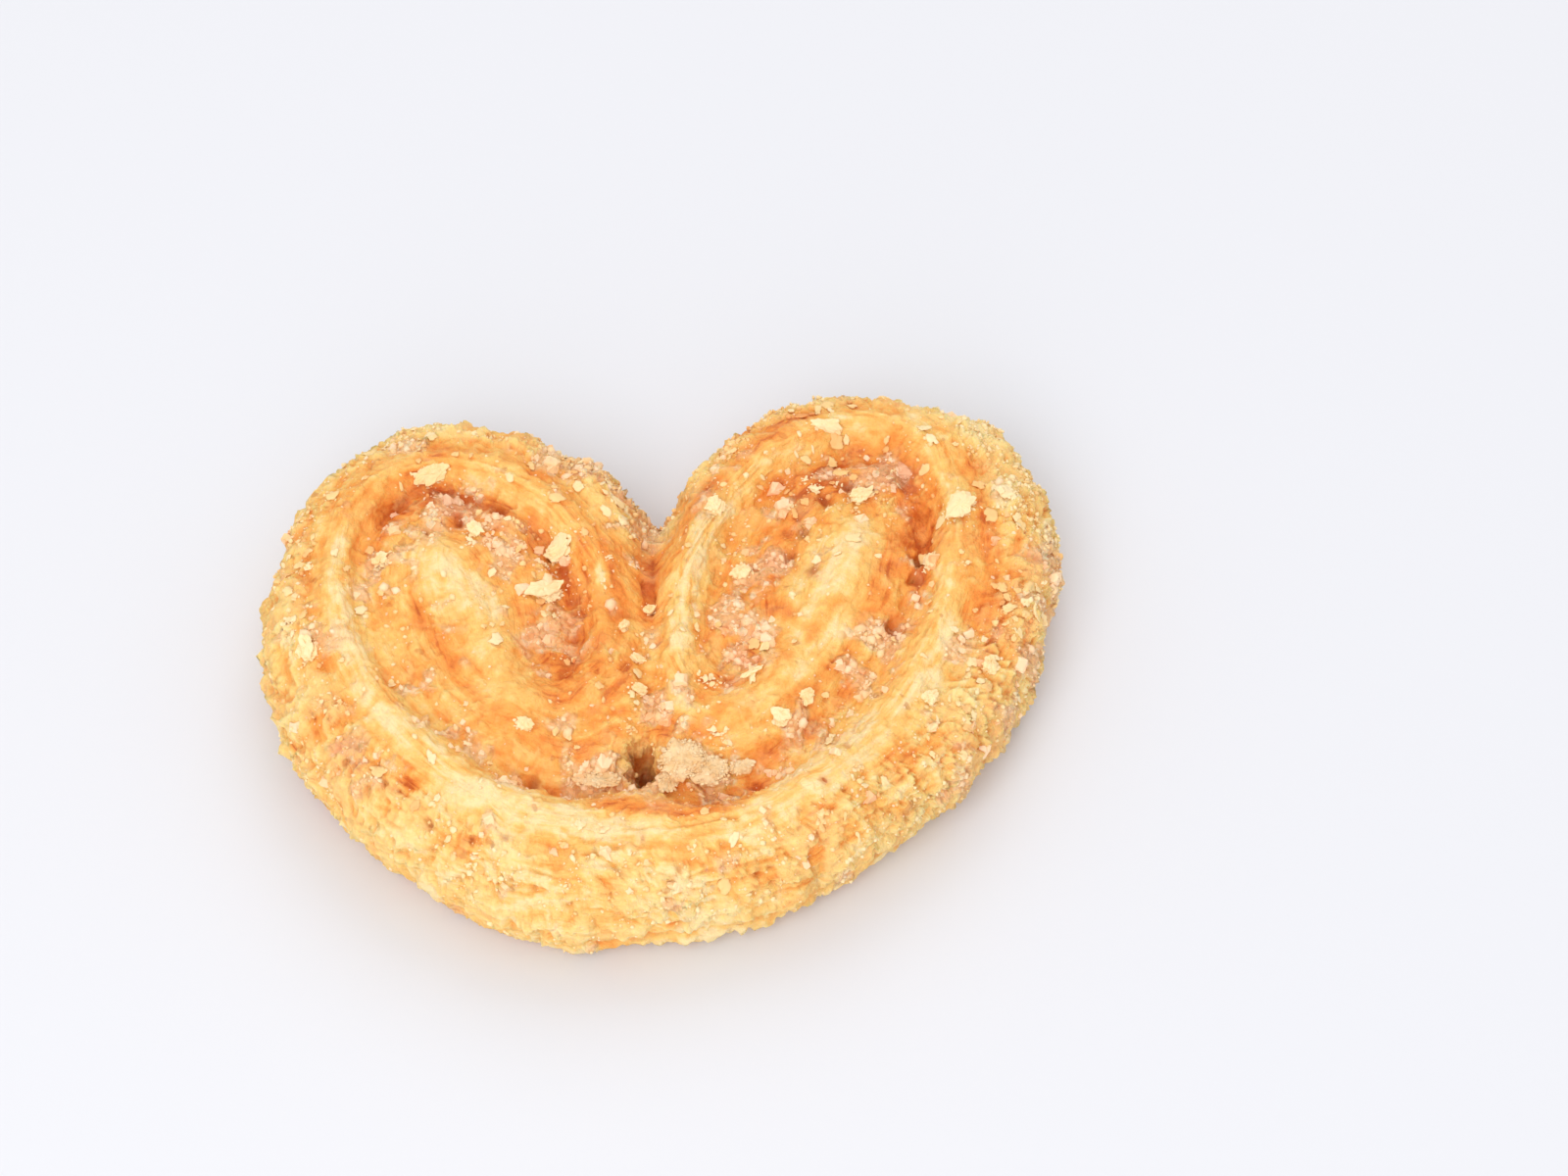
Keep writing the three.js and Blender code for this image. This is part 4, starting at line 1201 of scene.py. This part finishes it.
def makeSugar(ground):
    # skewed blocks and pebbles, sunk partly into the crust where sugar melted and set
    draw = np.random.default_rng(sugar["seed"])
    parts, normals = ground["parts"], ground["normals"]
    weights = sugarWeights(ground["points"], ground["zones"], parts)
    pieces = []
    for kind, shape in (("coarse", blockShape()), ("melted", pebbleShape()), ("fine", pebbleShape())):
        melted, count = kind == "melted", sugar[kind]
        picked = pickPlaces(draw, weights * parts["sugary"] ** 2 if melted else weights, count)
        sizes = drawSizes(draw, sugar[kind + "Size"], count, 2.4)
        places = ground["points"][picked] - normals[picked] * (sizes * sugar[kind + "Sink"])[:, None]
        allPoints, allFaces = strewn(draw, shape, sizes, places, sugar["grain"], onto=normals[picked])
        piece = makeMesh(kind + "Sugar", allPoints, allFaces, smooth=melted)
        corners = len(shape[0])
        addNumbers(piece, "tone", np.repeat(draw.random(count), corners))
        addNumbers(piece, "toast", np.repeat(ground["toast"][picked], corners))
        pieces.append(piece)
    return pieces


def sugarMaterial():
    paint = Paint("sugarFinish")
    tone, toast = paint.number("tone"), paint.number("toast")
    cloudy = paint.noise(0.5, 2.0)
    clear = (0.45 + tone * 0.5 + (cloudy - 0.5) * 0.5).clamped()
    color = paint.blend(clear, paint.browned(toast), crustColours["clearSugar"])
    return paint.finish(color, 0.28 + cloudy * 0.2, None, glow(0.2, (1.0, 0.8, 0.6), 0.0003, 0.3))


def flakeShape(outline, ringShares):
    # a disc of points in rings, upper and lower, with its faces, before it is given its ragged edge
    angle = np.arange(outline) / outline * 2 * np.pi
    circle = np.stack([np.cos(angle), np.sin(angle)], 1)
    disc = np.concatenate([np.zeros((1, 2))] + [share * circle for share in ringShares])
    k = np.arange(outline)
    nextK = (k + 1) % outline
    inner = [(np.zeros(outline, int), 1 + k, 1 + nextK)]
    for ring in range(len(ringShares) - 1):
        a, b = 1 + ring * outline, 1 + (ring + 1) * outline
        inner += [(a + k, b + k, b + nextK), (a + k, b + nextK, a + nextK)]
    top = triangles(*inner)
    below = len(disc)
    edge, nextEdge = below - outline + k, below - outline + nextK
    wall = triangles((edge, below + edge, below + nextEdge), (edge, below + nextEdge, nextEdge))
    return disc, np.concatenate([top, top[:, ::-1] + below, wall])


def raggedFlakes(draw, length, width, disc, thickness, curl, raggedness=1.0):
    # torn sheets: each outline wavers at several rates and is nicked, and each sheet bows and is rough
    outline, ringShares = disc
    points, faces = flakeShape(outline, ringShares)
    count = len(length)
    angle = np.arange(outline) / outline * 2 * np.pi
    edge = np.ones((count, outline))
    for waves in range(2, flake["waves"]):
        swing = draw.uniform(0.2, 1, (count, 1)) * 0.34 * raggedness / waves ** 0.8
        edge += swing * np.cos(waves * angle + draw.uniform(0, 2 * np.pi, (count, 1)))
    edge /= edge.mean(1, keepdims=True)
    nicks = 1 + raggedness * draw.uniform(-0.14, 0.1, (count, outline))
    around = np.concatenate([[0], np.tile(np.arange(outline), len(ringShares))])
    rim = np.hypot(points[:, 0], points[:, 1])
    reach = (edge * nicks)[:, around] * rim
    x = reach * np.append(0, np.tile(np.cos(angle), len(ringShares))) * length[:, None] / 2
    y = reach * np.append(0, np.tile(np.sin(angle), len(ringShares))) * width[:, None] / 2
    bow = draw.uniform(-0.6, 1, (count, 2))
    pointAngle = np.arctan2(points[:, 1], points[:, 0])
    bowed = bow[:, :1] * np.cos(pointAngle) ** 2 + bow[:, 1:] * np.sin(pointAngle) ** 2
    lift = curl * rim ** 2 * bowed * length[:, None]
    rough = draw.normal(0, 0.14, (count, len(points))) * thickness
    thin = thickness * mix(1.0, 0.35, rim ** 3)
    upper = np.stack([x, y, lift + thin / 2 + rough], 2)
    lower = np.stack([x, y, lift - thin / 2 + rough * 0.5], 2)
    return np.concatenate([upper, lower], 1), faces


def heightGrid(points, normals):
    # the upper face's height on a level grid, its empty cells filled from their neighbours
    cell, half, fillSteps = 0.35, 120, 4
    side = 2 * half
    upper = normals[:, 2] > 0.15
    column, row = (np.round(points[upper, axis] / cell).astype(int) + half for axis in (0, 1))
    place = column * side + row
    total, count = (np.bincount(place, weights, side * side).reshape(side, side)
                    for weights in (points[upper, 2], None))
    ways = [(step, axis) for step in (-1, 1) for axis in (0, 1)]
    for _ in range(fillSteps):
        empty = count == 0
        total, count = (np.where(empty, sum(np.roll(grid, *way) for way in ways), grid)
                        for grid in (total, count))
    height = total / np.maximum(count, 1)

    def heightAt(x, y):
        # the four nearest cells, blended in proportion
        u, v = (np.clip(value / cell + half, 0, side - 2) for value in (x, y))
        i, j = u.astype(int), v.astype(int)
        low = mix(height[i, j], height[i + 1, j], u - i)
        high = mix(height[i, j + 1], height[i + 1, j + 1], u - i)
        return mix(low, high, v - j)
    return heightAt


def drape(shapes, angle, places, heightAt, hug, raised=0.0):
    # flakes turned about the upright axis and let down onto the face, more or less closely
    laid = turned(shapes, turnsAbout(2, angle))
    x, y = laid[:, :, 0] + places[:, :1], laid[:, :, 1] + places[:, 1:2]
    face = heightAt(x, y)
    rest = face.mean(1, keepdims=True)
    z = laid[:, :, 2] + mix(np.broadcast_to(rest, face.shape), face, hug)
    return np.stack([x, y, z], 2) + [0, 0, raised]


def flakeTones(draw, piece, toast, perFlake):
    # each flake takes after the crust it lies on, a little paler
    tone = toast * flake["likeness"] + draw.uniform(-0.3, 0.12, len(toast))
    addNumbers(piece, "toast", np.repeat(tone, perFlake))


def makeFlakes(ground):
    # small torn flakes scattered over the shoulder and the crown, thickest at the back
    draw = np.random.default_rng(flake["seed"])
    points, zones, count = ground["points"], ground["zones"], flake["count"]
    x, y, z = points.T
    weights = zones["outer"] * ramp(z, 5.0, 8.0) * ramp(ground["normals"][:, 2], 0.25, 0.5)
    weights += 0.12 * zones["upward"]
    patches = patchy(points, 5.0, 131, 2, -0.4, 0.5)
    weights *= patches * (1 - zones["hole"]) * mix(1, 0.25, zones["front"])
    weights *= 1 + 1.5 * ramp(y, 8, 20) * ramp(x, 4, 14)
    picked = pickPlaces(draw, weights, count)
    length = drawSizes(draw, flake["size"], count, 2.2)
    width = length * draw.uniform(*flake["width"], count)
    disc = (flake["outline"], flake["rings"])
    shapes, faces = raggedFlakes(draw, length, width, disc, flake["thickness"], flake["curl"])
    angle = draw.uniform(0, 2 * np.pi, count)
    laid = drape(shapes, angle, points[picked], ground["heightAt"], flake["hug"], flake["lift"])
    piece = makeMesh("crustFlakes", *joinCopies(laid, faces))
    flakeTones(draw, piece, ground["toast"][picked], shapes.shape[1])
    return piece


def makeSheets(ground):
    # torn plates of set sugar where the list puts them, with grains set into each
    draw = np.random.default_rng(sheet["seed"])
    x, y, length, width, turn = layout(crustSheets).T
    disc = (sheet["outline"], sheet["rings"])
    shapes, faces = raggedFlakes(draw, length, width, disc, sheet["thickness"], sheet["curl"],
                                 sheet["raggedness"])
    laid = drape(shapes, turn, np.stack([x, y], 1), ground["heightAt"], sheet["hug"], sheet["lift"])
    platePoints, plateFaces = joinCopies(laid, faces)
    # the grains are spread evenly out to its edge
    grains = (sheet["grainsPerArea"] * length * width).astype(int)
    owner = np.repeat(np.arange(len(x)), grains)
    angle = draw.uniform(0, 2 * np.pi, len(owner))
    reach = np.sqrt(draw.random(len(owner))) * sheet["grainReach"]
    along, across = reach * np.cos(angle) * length[owner], reach * np.sin(angle) * width[owner]
    atX, atY = placesOn(x[owner], y[owner], turn[owner], along, across)
    rest = laid[:, :, 2].mean(1)[owner]
    face = mix(rest, ground["heightAt"](atX, atY) + sheet["lift"], 0.5)
    places = np.stack([atX, atY, face + sheet["thickness"] / 2 - sheet["grainSink"]], 1)
    sizes = drawSizes(draw, sheet["grainSize"], len(owner), 1.8)
    shape = pebbleShape()
    grainPoints, grainFaces = strewn(draw, shape, sizes, places, sheet["grain"], sheet["grainFlatness"])
    piece = makeMesh("sugarSheets", np.concatenate([platePoints, grainPoints]),
                     np.concatenate([plateFaces, grainFaces + len(platePoints)]))
    tone = np.repeat(draw.random(len(owner)), len(shape[0]))
    addNumbers(piece, "tone", np.concatenate([np.full(len(platePoints), sheet["tone"]), tone]))
    return piece


def makeHeaps(ground):
    # heaps of small flattened bits, thickest in the middle and straggling at the ends
    draw = np.random.default_rng(heap["seed"])
    points, zones, heightAt = ground["points"], ground["zones"], ground["heightAt"]
    weights = (0.25 + 0.5 * zones["outer"] + zones["inTop"]) * zones["upward"]
    weights *= ramp(points[:, 2], 5.0, 8.0)
    weights *= (1 - zones["hole"]) * (1 - 0.6 * zones["core"]) * patchy(points, 6.0, 161, 2, -0.6, 0.4)
    count = heap["strewn"]
    picked = pickPlaces(draw, weights, count)
    length = drawSizes(draw, heap["strewnSize"], count, 2)
    width = length * draw.uniform(0.4, 0.9, count)
    loose = np.column_stack([points[picked, :2], length, width, draw.uniform(0, np.pi, count)])
    x, y, length, width, turn = np.concatenate([layout(crumbHeaps), loose]).T
    bits = np.maximum(5, heap["bitsPerArea"] * length * width).astype(int)
    owner = np.repeat(np.arange(len(x)), bits)
    along, across = draw.normal(0, heap["spread"], (2, len(owner)))
    straggle = np.clip(np.hypot(along, across) / 0.5, 0, 1)
    atX, atY = placesOn(x[owner], y[owner], turn[owner], along * length[owner], across * width[owner])
    sizes = drawSizes(draw, heap["bitSize"], len(owner), 1.6) * mix(1, 0.45, straggle)
    atZ = heightAt(atX, atY) + heap["lift"] * (1 - straggle) * draw.random(len(owner))
    places = np.stack([atX, atY, atZ], 1)
    shape = pebbleShape()
    bitPoints, bitFaces = strewn(draw, shape, sizes, places, heap["grain"], heap["bitThickness"])
    placed = np.arange(len(x)) < len(crumbHeaps)
    tone = np.where(placed, 0.02, draw.uniform(-0.05, 0.4, len(x)))[owner]
    tone += draw.uniform(-0.18, 0.18, len(owner))
    platePoints, plateFaces, plateTone = heapPlates(draw, heightAt)
    piece = makeMesh("crumbHeaps", np.concatenate([platePoints, bitPoints]),
                     np.concatenate([plateFaces, bitFaces + len(platePoints)]), smooth=False)
    addNumbers(piece, "toast", np.concatenate([plateTone, np.repeat(tone, len(shape[0]))]))
    return piece


def heapPlates(draw, heightAt):
    # torn plates of crust, a few overlapping in each heap
    x, y, length, width, turn = np.repeat(layout(crumbHeaps), heap["plates"], axis=0).T
    count = len(x)
    share = draw.uniform(*heap["plateShare"], count)
    reach = heap["plateShift"]
    shift = draw.uniform(-reach, reach, (2, count)) * (1.2 - share) * np.stack([length, width])
    places = np.stack(placesOn(x, y, turn, *shift), 1)
    disc = (heap["plateOutline"], heap["plateRings"])
    shapes, faces = raggedFlakes(draw, length * share, width * share, disc, heap["plateThickness"],
                                 heap["plateCurl"], heap["plateRaggedness"])
    laid = drape(shapes, turn + draw.normal(0, 0.5, count), places, heightAt, heap["plateHug"])
    laid[:, :, 2] += np.tile(heap["plateLift"], len(crumbHeaps))[:, None]
    tone = np.repeat(draw.uniform(-0.12, 0.16, count), shapes.shape[1])
    return *joinCopies(laid, faces), tone


def makeCrumbs(ground):
    # tiny knocked pebbles of crust, thickest on the wall and at the back
    draw = np.random.default_rng(crumb["seed"])
    points, zones, count = ground["points"], ground["zones"], crumb["count"]
    x, y, z = points.T
    weights = zones["outer"] * ramp(z, 1.0, 4.0) + 0.1 * zones["upward"]
    weights *= mix(0.08, 1, patchy(points, 3.2, 151, 3, -0.2, 0.5)) * (1 - zones["hole"])
    weights *= 1 + 2 * ramp(y, 8, 20) * ramp(x, 4, 14)
    picked = pickPlaces(draw, weights, count)
    sizes = drawSizes(draw, crumb["size"], count, 2.8)
    shape = pebbleShape()
    piece = makeMesh("crustCrumbs", *strewn(draw, shape, sizes, points[picked], crumb["grain"]))
    flakeTones(draw, piece, ground["toast"][picked], len(shape[0]))
    return piece


def flakeMaterial():
    paint = Paint("flakeFinish")
    toast = paint.number("toast")
    fine = paint.noise(0.7, 3.0)
    baked = (toast + (fine - 0.5) * 0.4).clamped()
    color = paint.blend((0.5 - toast * 0.5).clamped(), paint.browned(baked), crustColours["frostedAndGlint"])
    return paint.finish(color, 0.6, (fine, 0.0002, 0.5), glow(0.15, (1.0, 0.8, 0.6), 0.0003, 0.2))


def sheetMaterial():
    # beige set sugar, each grain a little clearer or browner than the next
    paint = Paint("setSugarFinish")
    tone = paint.number("tone")
    fine = paint.noise(0.5, 3.0)
    pale = (tone * 0.6 + 0.1 + (fine - 0.5) * 1.6).clamped()
    color = paint.blend(pale, crustColours["setSugar"], crustColours["frostedAndGlint"])
    return paint.finish(color, 0.5, (fine, 0.0002, 0.6), glow(0.15, (1.0, 0.8, 0.6), 0.0003, 0.25))


studio = {
    "floorSize": 3.0,
    "floorColour": rgb(219, 221, 228),
    "skyColour": (1.0, 0.985, 0.965, 1.0), "skyStrength": 0.83,
    "lightTarget": (0, 0, 0.005),
    "lights": (
        # name, place, size, power and colour
        ("softBoxFront", (-0.18, -0.42, 0.55), 0.45, 2.1, (1, 0.99, 0.97)),
        ("softBoxLow", (-0.06, -0.6, 0.17), 0.4, 0.75, (1, 0.99, 0.98)),
        ("softBoxBehind", (0.1, 0.5, 0.55), 0.5, 1.1, (1, 0.99, 0.98)),
    ),
    "viewDistance": 420.0, "viewElevation": 55 * degree, "sensorWidth": 36.0,
    "aimPoint": (0.0, 0.0, 6.0), "aimPixel": (675, 690), "frame": (1600, 1200), "fieldPixels": 4869.6,
}


def makeFloor():
    half = studio["floorSize"] / 2
    mesh = bpy.data.meshes.new("floor")
    corners = [(-half, -half, 0), (half, -half, 0), (half, half, 0), (-half, half, 0)]
    mesh.from_pydata(corners, [], [(0, 1, 2, 3)])
    floor = bpy.data.objects.new("floor", mesh)
    bpy.context.scene.collection.objects.link(floor)
    paint = Paint("floorFinish")
    finish = paint.finish(studio["floorColour"], 0.6, None, {"Specular IOR Level": 0.2})
    floor.data.materials.append(finish)


def makeLight(name, place, size, power, colour):
    data = bpy.data.lights.new(name, "AREA")
    data.shape = "SQUARE"
    data.size = size
    data.energy = power
    data.color = colour
    light = bpy.data.objects.new(name, data)
    bpy.context.scene.collection.objects.link(light)
    aimAt(light, place, studio["lightTarget"])


def aimAt(thing, place, target):
    thing.location = place
    thing.rotation_euler = (Vector(target) - Vector(place)).to_track_quat("-Z", "Y").to_euler()


def makeStudio():
    makeFloor()
    for light in studio["lights"]:
        makeLight(*light)
    world = bpy.data.worlds.new("studioSky")
    world.use_nodes = True
    background = world.node_tree.nodes["Background"]
    background.inputs["Color"].default_value = studio["skyColour"]
    background.inputs["Strength"].default_value = studio["skyStrength"]
    bpy.context.scene.world = world
    bpy.context.scene.view_settings.view_transform = "Standard"


def makeCamera():
    # placed so that the aim point falls on its pixel of the frame
    elevation, distance, focal = studio["viewElevation"], studio["viewDistance"], studio["fieldPixels"]
    (aimX, aimY), (frameWidth, frameHeight) = studio["aimPixel"], studio["frame"]
    back = np.array([0, -math.cos(elevation), math.sin(elevation)])
    right = np.array([1.0, 0, 0])
    up = np.cross(back, right)
    acrossShare = (aimX - frameWidth / 2) / focal
    upShare = (frameHeight / 2 - aimY) / focal
    place = np.array(studio["aimPoint"]) + distance * (back - acrossShare * right - upShare * up)
    place = (place - designCentre) * mm
    data = bpy.data.cameras.new("camera")
    data.lens = studio["sensorWidth"] * focal / frameWidth
    data.sensor_width = studio["sensorWidth"]
    camera = bpy.data.objects.new("camera", data)
    bpy.context.scene.collection.objects.link(camera)
    aimAt(camera, place, place - back)
    bpy.context.scene.camera = camera


print("shaping the crust")
crustPiece, ground = makeCrust()
zones, parts = ground["zones"], ground["parts"]
ground["toast"] = toastAt(ground["points"], zones, parts)
onFace = 1 - zones["under"]
for name, values in (
        ("toast", ground["toast"]),
        ("pale", parts["pale"] * onFace),
        ("sugary", parts["sugary"] * mix(0.35, 1, onFace)),
        ("grains", parts["grains"]),
        # pits and pores darkened: painted shade
        ("crevice", np.clip(zones["pit"] * 0.7 + parts["pores"] * 0.35, 0, 1) * onFace),
        ("fibrous", (1 - 0.7 * parts["sugary"]) * (1 - 0.6 * zones["core"]))):
    addNumbers(crustPiece, name, values)
addPlaces(crustPiece, "fibre", fibrePlace(ground["points"], zones))
crustPiece.data.materials.append(crustMaterial())
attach(crustPiece, "root")
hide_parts("palmier")

print("strewing sugar, flakes and crumbs")
sugarFinish, flakeFinish, sheetFinish = sugarMaterial(), flakeMaterial(), sheetMaterial()
ground["heightAt"] = heightGrid(ground["points"], ground["normals"])
for grainPiece in makeSugar(ground):
    grainPiece.data.materials.append(sugarFinish)
    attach(grainPiece, "root")
looseParts = ((makeFlakes, flakeFinish), (makeSheets, sheetFinish),
              (makeHeaps, flakeFinish), (makeCrumbs, flakeFinish))
for makePart, finish in looseParts:
    flakePiece = makePart(ground)
    flakePiece.data.materials.append(finish)
    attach(flakePiece, "root")

print("setting the studio")
makeStudio()
makeCamera()
